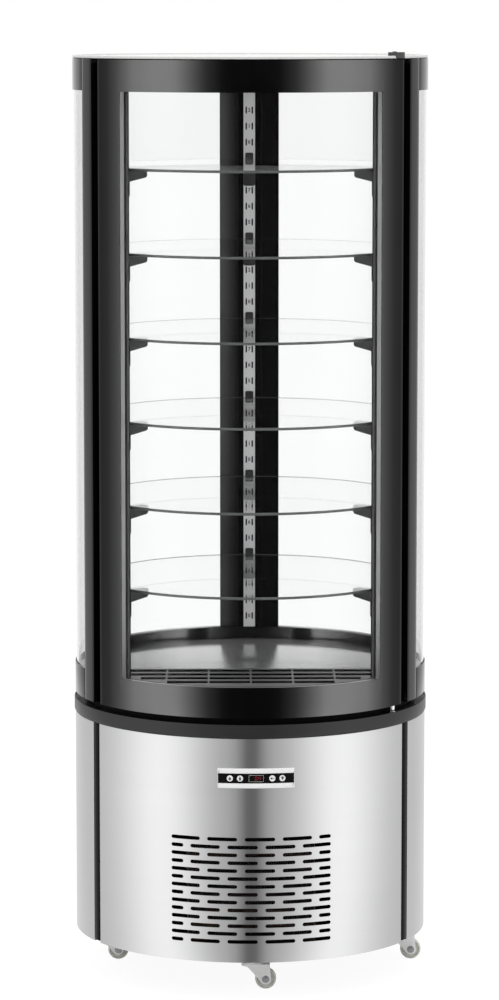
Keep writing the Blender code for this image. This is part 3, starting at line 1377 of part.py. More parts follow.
def build_case():
    build_base_frame()
    for side, place in CASTERS.items():
        build_caster(side, place)
    build_chassis()
    build_panels()
    build_belt()
    build_controller()
    build_compressor()
    build_condenser()
    build_condenser_shroud()
    build_condenser_fan()
    build_cabin_floor()
    build_evaporator()
    build_inlet()
    build_lower_ring()
    build_upper_ring()
    build_ceiling()
    build_cover()
    build_post("front_post_right", 1)
    build_post("front_post_left", -1)
    build_lights()
    build_column()
    build_rack_strip()
    build_side_glass()
    build_deck()
    build_shelves()
    build_door(add_pivot("door_pivot", PIVOT))
    build_hinges()


build_case()
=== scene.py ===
import math

import bmesh
import bpy
from mathutils import Matrix, Vector


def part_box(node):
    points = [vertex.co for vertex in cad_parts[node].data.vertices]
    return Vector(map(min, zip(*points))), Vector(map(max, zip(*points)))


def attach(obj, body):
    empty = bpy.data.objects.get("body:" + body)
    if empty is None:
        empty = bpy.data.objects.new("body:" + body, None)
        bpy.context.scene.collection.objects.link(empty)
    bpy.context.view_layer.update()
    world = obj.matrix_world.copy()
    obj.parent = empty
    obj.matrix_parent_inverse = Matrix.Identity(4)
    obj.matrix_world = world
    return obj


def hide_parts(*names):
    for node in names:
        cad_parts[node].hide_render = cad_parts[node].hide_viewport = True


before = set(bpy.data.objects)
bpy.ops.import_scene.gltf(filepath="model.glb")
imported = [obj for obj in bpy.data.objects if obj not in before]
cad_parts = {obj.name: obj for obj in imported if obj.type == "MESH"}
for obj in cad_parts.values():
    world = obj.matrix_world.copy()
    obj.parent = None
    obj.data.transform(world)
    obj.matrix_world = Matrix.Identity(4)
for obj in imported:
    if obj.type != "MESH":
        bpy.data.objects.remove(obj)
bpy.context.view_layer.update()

bl_info = {
    "name": "Round Cake Display Case",
    "version": (1, 0, 0),
    "blender": (4, 5, 0),
    "location": "3D View > Sidebar > Display Case",
    "description": "Dresses the packed display case with its finished pieces, finishes and stage",
    "category": "Object",
}

TURN = math.tau
QUARTER = math.pi / 2
UP = Vector((0.0, 0.0, 1.0))
FRONT = Vector((0.0, -1.0, 0.0))
RIGHT = Vector((1.0, 0.0, 0.0))
AXIS_FOOT = Vector((0.0, 0.0, 0.0))

# Small lengths of the modelling itself
SEED_SIZE = 0.01                      # plane that is shrunk to an outline's first corner
WELD = 0.00001
OVERRUN = 0.004                       # how far a cutter passes the wall that it cuts
OVERLAP = 0.0006                      # how far joined shapes run into each other
FIT = 0.0003
RADIAL_FIT = 0.0008
RING_STEP = math.radians(1.5)
PANEL_STEP = math.radians(0.75)
SHARP_ANGLE = math.radians(32)
SMALL_STEPS = 24
PIN_STEPS = 16
DISC_STEPS = 144
LEVEL = 0.9                           # a face is level where its normal's upward part is more than this
FINE_EDGE = 0.0004
SOFT_EDGE = 0.0008

# Sides of the case, as a sign and a word
SIDES = ((-1, "left"), (1, "right"))


def bottom(node):
    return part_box(node)[0].z


def top(node):
    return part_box(node)[1].z


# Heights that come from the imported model
PANEL_BOTTOM, PANEL_TOP = bottom("base_front_panel"), top("base_front_panel")
BELT_BOTTOM, BELT_TOP = bottom("belt_ring"), top("belt_ring")
CABIN_BOTTOM, CABIN_TOP = bottom("lower_ring"), top("upper_ring")
DOOR_BOTTOM, DOOR_TOP = bottom("door_frame"), top("door_frame")
DECK_BOTTOM, DECK_TOP = bottom("deck_plate"), top("deck_plate")
PANE_BOTTOM, PANE_TOP = bottom("side_glass_left_outer"), top("side_glass_left_outer")
STRIP_BOTTOM, STRIP_TOP = bottom("rack_strip"), top("rack_strip")
SHELF_NAMES = ("shelf_1", "shelf_2", "shelf_3", "shelf_4", "shelf_5", "shelf_6")
SHELF_TOPS = [top(name) for name in SHELF_NAMES]

# Radii, sheets and gaps that many pieces share
CASE_RADIUS = 0.340
ROOF_RIM_RISE = 0.0026
FLANGE_RADIUS = CASE_RADIUS - 0.012
SEAT_RADIUS = 0.300
SEAT_WIDTH = 0.020
RAIL_FACE = 0.296
CHANNEL_INNER_RADIUS = 0.2955
CHANNEL_LIP_RADIUS = 0.3168
OUTER_PANE = 0.3377
INNER_PANE = 0.3216
SIDE_SPACER = 0.3329
DOOR_OUTER_PANE = 0.3372
DOOR_INNER_PANE = 0.3211
DOOR_SPACER = 0.3324
GLASS = 0.004
SPACER_DEPTH = 0.0105
POST_FAR = math.radians(69.0)         # where the posts end, and the bands and side panes begin

# Heights of the bands
LOWER_BAND_TOP = CABIN_BOTTOM + 0.0582
UPPER_BAND_BOTTOM = CABIN_TOP - 0.0605


def sizes():
    """The sizes that the sidebar shows."""
    return bpy.context.scene.case_sizes


def polar(radius, azimuth, height=0.0):
    """Point at a radius, with the azimuth counted from the front towards the right."""
    return Vector((radius * math.sin(azimuth), -radius * math.cos(azimuth), height))


def degrees(value):
    return math.radians(value)


def mirrored(points):
    """The other side of an outline or section, in the order that goes on round it."""
    return [(-across, along) for across, along in reversed(points)]


def raised(section, height):
    """Section, given as (radius, rise), lifted to a height."""
    return [(radius, height + rise) for radius, rise in section]


# Modelling, in the steps that a hand would take


def pick(piece=None):
    """Leaves edit mode and selects this piece alone, or nothing."""
    if bpy.context.object is not None and bpy.context.object.mode == "EDIT":
        bpy.ops.object.mode_set(mode="OBJECT")
    bpy.ops.object.select_all(action="DESELECT")
    if piece is not None:
        piece.select_set(True)
        bpy.context.view_layer.objects.active = piece
    return piece


def throw_away(*pieces):
    """Deletes patterns and tools that have served."""
    for piece in pieces:
        pick(piece)
        bpy.ops.object.delete()


def apply_moves():
    """Puts the place, turn and size of the chosen piece into its mesh."""
    bpy.ops.object.transform_apply(location=True, rotation=True, scale=True)


def push(offset):
    """Extrudes what is selected in edit mode."""
    bpy.ops.mesh.extrude_region_move(TRANSFORM_OT_translate={"value": offset})


def draw(name, points, closed=True):
    """Draws an outline corner by corner, and fills it when it is closed."""
    pick()
    bpy.ops.mesh.primitive_plane_add(size=SEED_SIZE, location=points[0])
    piece = bpy.context.object
    piece.name = name
    bpy.ops.object.mode_set(mode="EDIT")
    bpy.ops.mesh.select_mode(type="VERT")
    bpy.ops.mesh.select_all(action="SELECT")
    bpy.ops.mesh.merge(type="CENTER")
    for here, there in zip(points, points[1:]):
        push(there - here)
    bpy.ops.mesh.select_all(action="SELECT")
    if closed:
        bpy.ops.mesh.edge_face_add()
    return piece


def tidy_shell(piece):
    """Merges doubled corners, turns the faces outwards and puts the origin back to the frame's."""
    if piece.mode != "EDIT":
        pick(piece)
        bpy.ops.object.mode_set(mode="EDIT")
    bpy.ops.mesh.select_all(action="SELECT")
    bpy.ops.mesh.remove_doubles(threshold=WELD)
    bpy.ops.mesh.normals_make_consistent(inside=False)
    pick(piece)
    apply_moves()
    return piece


def sweep(name, section, start=None, end=None, step=RING_STEP):
    """Turns a section, in (radius, height), about the case's axis: a whole ring, or from start to end."""
    first = 0.0 if start is None else start
    piece = draw(name, [polar(radius, first, height) for radius, height in section])
    if start is None:
        bpy.ops.mesh.delete(type="ONLY_FACE")
        bpy.ops.mesh.select_all(action="SELECT")
        bpy.ops.mesh.spin(steps=round(TURN / step), angle=TURN, center=AXIS_FOOT, axis=UP)
    else:
        steps = max(1, round(abs(end - start) / step))
        bpy.ops.mesh.spin(steps=steps, angle=start - end, center=AXIS_FOOT, axis=UP)
    return tidy_shell(piece)


def slab(name, inner, outer, start, end, low, high, step=RING_STEP):
    """Curved plate between two radii, two azimuths and two heights."""
    return sweep(name, [(inner, low), (outer, low), (outer, high), (inner, high)], start, end, step)


def lathe(name, section, centre, axis=UP, arm=RIGHT, steps=SMALL_STEPS):
    """Turns a section, in (radius, height along the axis), about an axis of its own."""
    on_axis = section[0][0] == 0 and section[-1][0] == 0
    points = [centre + arm * radius + axis * height for radius, height in section]
    piece = draw(name, points, closed=not on_axis)
    if not on_axis:
        bpy.ops.mesh.delete(type="ONLY_FACE")
        bpy.ops.mesh.select_all(action="SELECT")
    bpy.ops.mesh.spin(steps=steps, angle=TURN, center=centre, axis=axis)
    return tidy_shell(piece)


def raise_outline(name, points, offset):
    """Draws an outline and extrudes it into a solid."""
    piece = draw(name, points)
    push(offset)
    return tidy_shell(piece)


def plan(name, outline, low, high):
    """Solid whose outline is drawn in plan, from one height to another."""
    return raise_outline(name, [Vector((x, y, low)) for x, y in outline], UP * (high - low))


def block(name, low, high):
    """Box between two corners, drawn in plan."""
    outline = [(low[0], low[1]), (high[0], low[1]), (high[0], high[1]), (low[0], high[1])]
    return plan(name, outline, low[2], high[2])


def arc(radius, start, end, step=RING_STEP):
    """Points of an arc in plan."""
    steps = max(1, round(abs(end - start) / step))
    angles = [start + (end - start) * index / steps for index in range(steps + 1)]
    return [(radius * math.sin(angle), -radius * math.cos(angle)) for angle in angles]


def circle(centre, radius, steps, start=0.0, sweep_angle=TURN):
    """Points round a centre in a plane, from one angle on."""
    count = steps if sweep_angle == TURN else steps + 1
    angles = [start + sweep_angle * index / steps for index in range(count)]
    return [(centre[0] + radius * math.cos(angle), centre[1] + radius * math.sin(angle)) for angle in angles]


def apply_modifier(piece, kind, **settings):
    pick(piece)
    change = piece.modifiers.new(kind.lower(), kind)
    for setting, value in settings.items():
        setattr(change, setting, value)
    bpy.ops.object.modifier_apply(modifier=change.name)
    return piece


def round_edges(piece, width, segments=2, angle=SHARP_ANGLE):
    return apply_modifier(piece, "BEVEL", width=width, segments=segments, limit_method="ANGLE",
                          angle_limit=angle, use_clamp_overlap=True)


def cut(piece, tool, operation="DIFFERENCE"):
    """Cuts a tool out of a piece, or unites or intersects them, and throws the tool away."""
    apply_modifier(piece, "BOOLEAN", operation=operation, solver="EXACT", object=tool)
    throw_away(tool)
    return piece


def join(pieces, name=None):
    """Makes several pieces one, under the first one's name or a new one."""
    first, *others = pieces
    pick(first)
    for other in others:
        other.select_set(True)
    bpy.ops.object.join()
    if name is not None:
        first.name = name
    return first


def place(piece, matrix):
    """Moves a piece and applies the move, so that its place is in its mesh."""
    piece.matrix_world = matrix @ piece.matrix_world
    pick(piece)
    apply_moves()
    if matrix.determinant() < 0:
        tidy_shell(piece)
    return piece


def copy_of(piece, name, matrix):
    """Second example of a piece, with a mesh of its own, at another place."""
    pick(piece)
    bpy.ops.object.duplicate(linked=False)
    twin = bpy.context.object
    twin.name = name
    return place(twin, matrix)


def facing(azimuth, height=0.0):
    """Turns what is drawn at the front to another azimuth, and lifts it."""
    return Matrix.Translation((0.0, 0.0, height)) @ Matrix.Rotation(azimuth, 4, "Z")


def mirror_side():
    """Takes what is at the right to the left."""
    return Matrix.Scale(-1.0, 4, RIGHT)


def choose_faces(piece, test):
    """Selects, in edit mode, the faces that pass a test on their normal."""
    bpy.ops.mesh.select_mode(type="FACE")
    bpy.ops.mesh.select_all(action="DESELECT")
    shape = bmesh.from_edit_mesh(piece.data)
    for face in shape.faces:
        face.select_set(test(face.normal))
    shape.select_flush_mode()
    bmesh.update_edit_mesh(piece.data)


def paint(piece, finish):
    """Gives a piece one material all over."""
    piece.data.materials.clear()
    piece.data.materials.append(finish)
    for face in piece.data.polygons:
        face.material_index = 0


def paint_faces(piece, finish, test):
    """Gives the faces whose normal passes a test a second material."""
    piece.data.materials.append(finish)
    for face in piece.data.polygons:
        if test(face.normal):
            face.material_index = 1


def settle(piece, body, finish, nodes=(), edge=0.0, segments=2):
    """Finishes a piece: soft edges, shading, material, its body and the nodes that it stands for."""
    if edge > 0:
        round_edges(piece, edge, segments)
    pick(piece)
    bpy.ops.object.shade_smooth_by_angle(angle=SHARP_ANGLE)
    paint(piece, look(finish))
    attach(piece, body)
    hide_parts(*nodes)


def dress(finish, *nodes):
    """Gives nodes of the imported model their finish."""
    for node in nodes:
        paint(bpy.data.objects[node], look(finish))


# Materials


class Value:
    """A socket in an expression. Each operator adds a Math node."""

    def __init__(self, tree, socket):
        self.tree = tree
        self.socket = socket

    def math(self, operation, *others):
        node = self.tree.nodes.new("ShaderNodeMath")
        node.operation = operation
        for place_in, value in zip(node.inputs, (self, *others)):
            if isinstance(value, Value):
                self.tree.links.new(value.socket, place_in)
            else:
                place_in.default_value = value
        return Value(self.tree, node.outputs[0])

    def _turned(self, operation, other):
        node = self.tree.nodes.new("ShaderNodeMath")
        node.operation = operation
        node.inputs[0].default_value = other
        self.tree.links.new(self.socket, node.inputs[1])
        return Value(self.tree, node.outputs[0])

    def __add__(self, other):
        return self.math("ADD", other)

    def __radd__(self, other):
        return self._turned("ADD", other)

    def __sub__(self, other):
        return self.math("SUBTRACT", other)

    def __rsub__(self, other):
        return self._turned("SUBTRACT", other)

    def __mul__(self, other):
        return self.math("MULTIPLY", other)

    def __rmul__(self, other):
        return self._turned("MULTIPLY", other)

    def __truediv__(self, other):
        return self.math("DIVIDE", other)

    def clipped(self):
        return self.math("MAXIMUM", 0.0).math("MINIMUM", 1.0)


HALF_TURN = 180                       # in degrees, as the tables of levels are
# Outlets of the light path node that are used
RAYS = {"camera": 0, "shadow": 1, "diffuse": 2, "glossy": 3, "through": 6}


class Recipe:
    """Node tree of a material or of the world."""

    def __init__(self, tree):
        self.tree = tree
        tree.nodes.clear()

    def add(self, kind, settings=(), outlet=0, **values):
        """Adds a node: its settings first, then the values or links of its sockets."""
        node = self.tree.nodes.new(kind)
        for name, value in dict(settings).items():
            if name == "stops":
                self._set_stops(node.color_ramp, value)
            else:
                setattr(node, name, value)
        for name, value in values.items():
            inlet = self._inlet(node, name)
            if isinstance(value, Value):
                self.tree.links.new(value.socket, inlet)
            else:
                inlet.default_value = value
        if node.outputs:
            return Value(self.tree, node.outputs[outlet])
        return None

    @staticmethod
    def _inlet(node, name):
        if name.startswith("in_"):
            return node.inputs[int(name[3:])]
        return node.inputs[name.replace("_", " ")]

    @staticmethod
    def _set_stops(ramp, stops):
        while len(ramp.elements) > 1:
            ramp.elements.remove(ramp.elements[0])
        for index, (position, shade) in enumerate(stops):
            stop = ramp.elements[0] if index == 0 else ramp.elements.new(position)
            stop.position = position
            stop.color = (shade, shade, shade, 1.0)

    def place_on_object(self, scale=(1.0, 1.0, 1.0), shift=(0.0, 0.0, 0.0)):
        coordinates = self.add("ShaderNodeTexCoord", outlet=3)
        return self.add("ShaderNodeMapping", Vector=coordinates, Scale=scale, Location=shift)

    def round_the_case(self, levels):
        """Level that changes with the angle from the front, given as (degrees, level)."""
        place_of = self.add("ShaderNodeTexCoord", outlet=3)
        turn = self.turn_of(self.split(place_of, 0), self.split(place_of, 1))
        return self.by_angle(turn, levels)

    def turn_of(self, across, along):
        """Angle from the front, where 1 is the rear."""
        return across.math("ABSOLUTE").math("ARCTAN2", along * -1.0) / math.pi

    def by_angle(self, turn, levels):
        stops = [(angle / HALF_TURN, level) for angle, level in levels]
        return self.add("ShaderNodeValToRGB", {"stops": stops}, Fac=turn)

    def light_path(self, *kinds):
        """For each kind, whether a ray is of it: 1 or 0."""
        return [self.add("ShaderNodeLightPath", outlet=RAYS[kind]) for kind in kinds]

    def split(self, vector, part):
        """One of a vector's three parts."""
        return self.add("ShaderNodeSeparateXYZ", outlet=part, Vector=vector)

    def noise(self, where, scale, detail=3.0, roughness=0.5):
        return self.add("ShaderNodeTexNoise", Vector=where, Scale=scale, Detail=detail, Roughness=roughness)

    def mix(self, factor, first, second):
        """Colour between two colours."""
        return self.add("ShaderNodeMix", {"data_type": "RGBA"}, outlet=2, in_0=factor, in_6=first, in_7=second)

    def bump(self, height, strength, distance, normal=None):
        values = {"Height": height, "Strength": strength, "Distance": distance}
        if normal is not None:
            values["Normal"] = normal
        return self.add("ShaderNodeBump", **values)

    def finish(self, shader):
        self.add("ShaderNodeOutputMaterial", Surface=shader)

    def close(self, **values):
        """Ends the recipe with one Principled shader."""
        self.finish(self.add("ShaderNodeBsdfPrincipled", **values))


def colour(red, green=None, blue=None):
    """Colour with its alpha; one number gives a grey."""
    green = red if green is None else green
    blue = red if blue is None else blue
    return (red, green, blue, 1.0)


def new_look(name):
    material = bpy.data.materials.new(name)
    material.use_nodes = True
    return material, Recipe(material.node_tree)


# Painted sheen: how strongly the clear coat shows round the case, which places its highlights; the front is kept
# matt, and so are the edges of the door
COAT_PAINTED_SHEEN_LEVELS = ((0, 0.0), (6, 0.01), (9, 0.04), (14, 0.24), (19, 0.64), (24, 1.0), (40, 1.0), (47, 0.46), (52, 0.15),
               (57, 0.05), (60, 0.06), (62.5, 0.28), (90, 0.34), (126, 0.02), (133, 0.05), (142, 0.50), (151, 1.0),
               (161, 1.0), (167, 0.35), (174, 0.06))
# Painted shade down the middle of the front panel: how far the steel is darkened towards it
FRONT_PAINTED_SHADE_LEVELS = ((0, 0.0), (1.5, 0.06), (3, 0.40), (5, 0.80), (7.5, 1.0))


def cloudy_look(name, first, second, rough, follow=0.0, scale=1.0, detail=3.0, soft=0.5, stretch=(1.0, 1.0, 1.0),
                contrast=None, grain=None, **more):
    """Finish whose shade and roughness follow one cloud of noise, with a fine grain as relief where it is given."""
    material, recipe = new_look(name)
    cloud = recipe.noise(recipe.place_on_object(stretch), scale, detail, soft)
    level = cloud
    if contrast is not None:
        gain, foot = contrast
        level = (cloud * gain - foot).clipped()
    if grain is not None:
        grain_scale, grain_detail, strength, depth = grain
        fine = recipe.noise(recipe.place_on_object(), grain_scale, grain_detail)
        more["Normal"] = recipe.bump(fine, strength, depth)
    recipe.close(Base_Color=recipe.mix(level, colour(*first), colour(*second)),
                 Roughness=rough + cloud * follow if follow else rough, **more)
    return material


# The finishes that cloudy_look makes, by name
CLOUDY_LOOKS = {
    # Satin black paint of the belt, scuffed a little
    "belt_paint": dict(first=(0.008,), second=(0.016,), rough=0.30, follow=0.16, scale=18.0, detail=5.0, soft=0.6,
                       grain=(420.0, 2.0, 0.04, 0.0003), Specular_IOR_Level=0.33),
    # Black moulded plastic with a fine grain
    "black_plastic": dict(first=(0.012,), second=(0.028, 0.028, 0.029), rough=0.34, follow=0.14, scale=14.0,
                          detail=4.0, grain=(1400.0, 2.0, 0.12, 0.0002)),
    # Dark grey moulding inside the door
    "liner_plastic": dict(first=(0.050,), second=(0.064,), rough=0.40, follow=0.14, scale=14.0, detail=4.0),
    # Dark grey paint of the grille, worn a little paler
    "grille_paint": dict(first=(0.10,), second=(0.20, 0.20, 0.205), rough=0.42, follow=0.12, scale=40.0,
                         detail=4.0, Metallic=0.3),
    # Turned steel of the pivots and pins
    "turned_steel": dict(first=(0.66,), second=(0.78,), rough=0.18, follow=0.12, detail=2.0,
                         stretch=(40.0, 40.0, 3000.0), Metallic=1.0),
    # Off-white stoved paint of the ceiling
    "white_paint": dict(first=(0.78, 0.78, 0.77), second=(0.84, 0.84, 0.835), rough=0.30, follow=0.12, scale=6.0,
                        detail=4.0, grain=(420.0, 2.0, 0.05, 0.0003)),
    # Light grey stoved paint of the roof
    "roof_paint": dict(first=(0.56, 0.56, 0.555), second=(0.62, 0.62, 0.615), rough=0.40, follow=0.12, scale=6.0,
                       detail=4.0, grain=(420.0, 2.0, 0.05, 0.0003)),
    # Pale grey paint of the rack strip, rubbed a little beside its holes
    "strip_paint": dict(first=(0.93, 0.93, 0.935), second=(0.85, 0.85, 0.855), rough=0.62, follow=0.12,
                        detail=4.0, stretch=(400.0, 60.0, 24.0), Metallic=0.80),
    # Light grey plastic of the controller's face
    "light_plastic": dict(first=(0.78, 0.78, 0.785), second=(0.84, 0.84, 0.845), rough=0.30, follow=0.08,
                          scale=30.0, grain=(1600.0, 2.0, 0.05, 0.0001)),
    # Deep black acrylic, with faint wiping marks
    "black_acrylic": dict(first=(0.002,), second=(0.006,), rough=0.08, follow=0.10, stretch=(70.0, 70.0, 340.0),
                          Specular_IOR_Level=0.06),
    # Dark printing ink
    "dark_ink": dict(first=(0.03,), second=(0.07,), rough=0.5, scale=900.0),
    # Black rubber with a dull bloom
    "black_rubber": dict(first=(0.016,), second=(0.040, 0.040, 0.041), rough=0.62, follow=0.2, scale=26.0,
                         detail=4.0),
    # Mill-finish aluminium of the spacer bars and axle bolts
    "spacer_aluminium": dict(first=(0.33, 0.33, 0.332), second=(0.39, 0.39, 0.392), rough=0.32, follow=0.12,
                             detail=2.0, stretch=(1500.0, 1500.0, 3.0), Metallic=0.75),
    # Thin aluminium of the heat exchangers, painted dark as shade inside the base, with patches of darker dust
    "shaded_fin_aluminium": dict(first=(0.110, 0.110, 0.112), second=(0.045, 0.045, 0.043), rough=0.60, follow=0.2,
                          scale=60.0, detail=5.0, contrast=(1.6, 0.5), Metallic=0.2),
    # Copper tube, a little tarnished
    "copper_tube": dict(first=(0.16, 0.075, 0.05), second=(0.05, 0.028, 0.020), rough=0.24, follow=0.2,
                        scale=70.0, detail=5.0, contrast=(1.5, 0.3), Metallic=0.95),
    # Dark skin of the insulated floor
    "floor_skin": dict(first=(0.002,), second=(0.005,), rough=0.5, follow=0.2, scale=12.0,
                       grain=(320.0, 3.0, 0.2, 0.0004), Specular_IOR_Level=0.08),
    # Milky cover of the light strips
    "milky_cover": dict(first=(0.36, 0.36, 0.355), second=(0.42, 0.42, 0.415), rough=0.36, follow=0.12,
                        stretch=(120.0, 120.0, 6.0)),
    # Ground edge of a glass sheet, grey-green where the light runs out along it
    "glass_edge": dict(first=(0.070, 0.075, 0.074), second=(0.130, 0.138, 0.136), rough=0.16, follow=0.2,
                       stretch=(300.0, 300.0, 900.0)),
}


def lacquer_look(name):
    """Black gloss paint under a clear coat, with faint orange peel and a little dust; the coat's strength round the
    case is painted sheen.
    """
    colours = bpy.context.scene.case_colours
    material, recipe = new_look(name)
    where = recipe.place_on_object()
    peel = recipe.noise(where, 260.0, 2.0)
    dust = recipe.noise(where, 9.0, 5.0, 0.65)
    shade = recipe.mix((dust - 0.5).clipped() * 0.05, colour(*colours.lacquer), colour(0.10, 0.10, 0.11))
    # The clear coat's strength round the case is painted sheen.
    recipe.close(Base_Color=shade, Roughness=0.12 + dust * 0.07, Specular_IOR_Level=0.03,
                 Coat_Weight=recipe.round_the_case(COAT_PAINTED_SHEEN_LEVELS), Coat_Roughness=0.10, Coat_IOR=1.95,
                 Normal=recipe.bump(peel, 0.02, 0.0006))
    return material


def column_paint_look(name):
    """Dull black paint of the duct, with a painted highlight along its left edge: paler colour and a stronger clear
    coat there.
    """
    material, recipe = new_look(name)
    where = recipe.place_on_object()
    cloud = recipe.noise(where, 12.0, 4.0)
    # Painted highlight along the left edge, which pales the colour and strengthens the coat there.
    left = ((-0.020 - recipe.split(where, 0)) / 0.038).clipped()
    shade = recipe.mix(cloud, colour(0.0010), colour(0.0030))
    recipe.close(Base_Color=recipe.mix(left * left, shade, colour(0.045)), Roughness=0.30 + cloud * 0.15,
                 Specular_IOR_Level=0.03, Coat_Weight=left, Coat_Roughness=0.3, Coat_IOR=1.9)
    return material


def brushed_steel_look(name):
    """Stainless sheet brushed along its length, so that the streaks run level round the base, with painted shade down
    the middle of the front panel.
    """
    steel = bpy.context.scene.case_colours.steel
    material, recipe = new_look(name)
    streaks = recipe.noise(recipe.place_on_object((6.0, 6.0, 2600.0)), 1.0, 3.0, 0.6)
    bands = recipe.noise(recipe.place_on_object((1.4, 1.4, 42.0)), 1.0, 3.0)
    smears = recipe.noise(recipe.place_on_object(), 5.0, 4.0)
    middle, dark, light = [colour(*[value * share for value in steel]) for share in (0.36, 0.94, 1.04)]
    # The steel is darkened towards the front's middle as painted shade.
    shade = recipe.mix(recipe.round_the_case(FRONT_PAINTED_SHADE_LEVELS), middle,
                       recipe.mix(streaks * 0.6 + bands * 0.4, dark, light))
    recipe.close(Base_Color=shade, Metallic=1.0, Roughness=0.30 + streaks * 0.07 + smears * 0.05,
                 Normal=recipe.bump(streaks, 0.05, 0.0002))
    return material


def deck_steel_look(name):
    """Stainless deck, brushed from side to side, dished a little and darker towards both ends."""
    material, recipe = new_look(name)
    where = recipe.place_on_object()
    streaks = recipe.noise(recipe.place_on_object((9.0, 2200.0, 9.0)), 1.0, 3.0, 0.6)
    smears = recipe.noise(where, 7.0, 4.0)
    # Darker towards both ends.
    darker_ends = ((recipe.split(where, 0).math("ABSOLUTE") - 0.13) / 0.08).clipped()
    shade = recipe.mix(darker_ends, recipe.mix(streaks, colour(0.54, 0.54, 0.545), colour(0.62, 0.62, 0.625)),
                       colour(0.30, 0.30, 0.303))
    dished = recipe.bump(recipe.split(where, 1) * 0.20, 1.0, 1.0)
    recipe.close(Base_Color=shade, Metallic=0.70, Roughness=0.12 + streaks * 0.04 + smears * 0.05,
                 Normal=recipe.bump(streaks, 0.3, 0.0002, dished))
    return material


def zinc_look(name):
    """Zinc-plated pressings, with their faint yellow and blue cast."""
    material, recipe = new_look(name)
    where = recipe.place_on_object()
    cast = recipe.noise(where, 55.0, 4.0)
    spots = recipe.noise(where, 480.0, 3.0)
    recipe.close(Base_Color=recipe.mix(cast, colour(0.84, 0.84, 0.82), colour(0.92, 0.93, 0.93)), Metallic=0.20,
                 Roughness=0.22 + spots * 0.16, Normal=recipe.bump(spots, 0.06, 0.0002))
    return material


def nylon_look(name):
    """Greyish wheel nylon, scuffed along the tread."""
    material, recipe = new_look(name)
    mottle = recipe.noise(recipe.place_on_object(), 90.0, 4.0)
    scuffs = recipe.noise(recipe.place_on_object((160.0, 900.0, 160.0)), 1.0, 3.0)
    shade = recipe.mix((mottle * 0.6 + scuffs * 0.5).clipped(), colour(0.76, 0.76, 0.70), colour(0.58, 0.58, 0.53))
    recipe.close(Base_Color=shade, Roughness=0.32 + mottle * 0.2, Normal=recipe.bump(scuffs, 0.06, 0.0003))
    return material


def digit_look(name):
    """Red segments, lit faintly."""
    digits = bpy.context.scene.case_colours.digits
    material, recipe = new_look(name)
    glow = recipe.noise(recipe.place_on_object(), 300.0, 2.0)
    shade = recipe.mix(glow, colour(*[value * 0.75 for value in digits]), colour(*digits))
    recipe.close(Base_Color=colour(0.20, 0.01, 0.015), Roughness=0.25, Emission_Color=shade,
                 Emission_Strength=0.25)
    return material


def glass_look(name):
    """Clear float glass: bends what is seen through it, and lets light through to the shelves below."""
    material, recipe = new_look(name)
    film = recipe.noise(recipe.place_on_object(), 3.0, 3.0)
    shade = recipe.mix(film, colour(0.968, 0.971, 0.970), colour(0.984, 0.986, 0.985))
    # Painted shade where the glass is looked at along its face.
    slant = recipe.add("ShaderNodeLayerWeight", outlet=1, Blend=0.5)
    shade = recipe.mix(slant * slant * slant, shade, colour(*SLANT_PAINTED_SHADE[name]))
    pane = recipe.add("ShaderNodeBsdfPrincipled", Base_Color=shade, Roughness=0.0, IOR=sizes().glass_bending,
                      Transmission_Weight=1.0)
    clear = recipe.add("ShaderNodeBsdfTransparent", Color=colour(0.97))
    shadow, diffuse, glossy, through = recipe.light_path("shadow", "diffuse", "glossy", "through")
    straight = shadow.math("MAXIMUM", diffuse).math("MAXIMUM", glossy * (1.0 - through))
    recipe.finish(recipe.add("ShaderNodeMixShader", in_0=straight, in_1=pane, in_2=clear))
    return material


# Painted shade of the glass where it is looked at along its face: the panes darken there, and the shelves stay clear
SLANT_PAINTED_SHADE = {"clear_glass": (0.36, 0.37, 0.365), "shelf_glass": (0.93, 0.935, 0.932)}
LOOK_MAKERS = {
    "black_lacquer": lacquer_look,
    "column_paint": column_paint_look,
    "brushed_steel": brushed_steel_look,
    "deck_steel": deck_steel_look,
    "zinc_plate": zinc_look,
    "wheel_nylon": nylon_look,
    "red_segments": digit_look,
    "clear_glass": glass_look,
    "shelf_glass": glass_look,
}
LOOKS = {}


def look(name):
    """The named finish, made the first time that it is asked for."""
    if name not in LOOKS:
        if name in CLOUDY_LOOKS:
            LOOKS[name] = cloudy_look(name, **CLOUDY_LOOKS[name])
        else:
            LOOKS[name] = LOOK_MAKERS[name](name)
    return LOOKS[name]


# Sizes and colours that a user would change


class CaseSizes(bpy.types.PropertyGroup):
    sheet_edge: bpy.props.FloatProperty(
        name="Sheet Edge", description="Rounding of folded sheet edges", default=0.0005, unit="LENGTH")
    frame_edge: bpy.props.FloatProperty(
        name="Frame Edge", description="Rounding of the door frame and the bands", default=0.0008, unit="LENGTH")
    glass_edge: bpy.props.FloatProperty(
        name="Glass Edge", description="Rounding of the ground glass edges", default=0.0004, unit="LENGTH")
    glass_bending: bpy.props.FloatProperty(
        name="Glass Bending", description="Refraction and mirror strength of the panes", default=1.10, min=1.0)
    slot_height: bpy.props.FloatProperty(
        name="Slot Height", description="Height of the vent slots", default=0.0070, unit="LENGTH")
    slot_length: bpy.props.FloatProperty(
        name="Slot Length", description="Length of a full vent slot", default=0.0572, unit="LENGTH")
    digit_height: bpy.props.FloatProperty(
        name="Rack Digit Height", description="Height of the digits on the rack strip", default=0.0100,
        unit="LENGTH")


class CaseColours(bpy.types.PropertyGroup):
    lacquer: bpy.props.FloatVectorProperty(
        name="Lacquer", description="Paint of the door frame, bands and posts", default=(0.0016, 0.0016, 0.0018),
        subtype="COLOR", size=3)
    steel: bpy.props.FloatVectorProperty(
        name="Steel", description="Brushed sheet of the base", default=(0.56, 0.56, 0.565), subtype="COLOR",
        size=3)
    digits: bpy.props.FloatVectorProperty(
        name="Digits", description="Lit segments of the display", default=(0.85, 0.04, 0.06), subtype="COLOR",
        size=3)


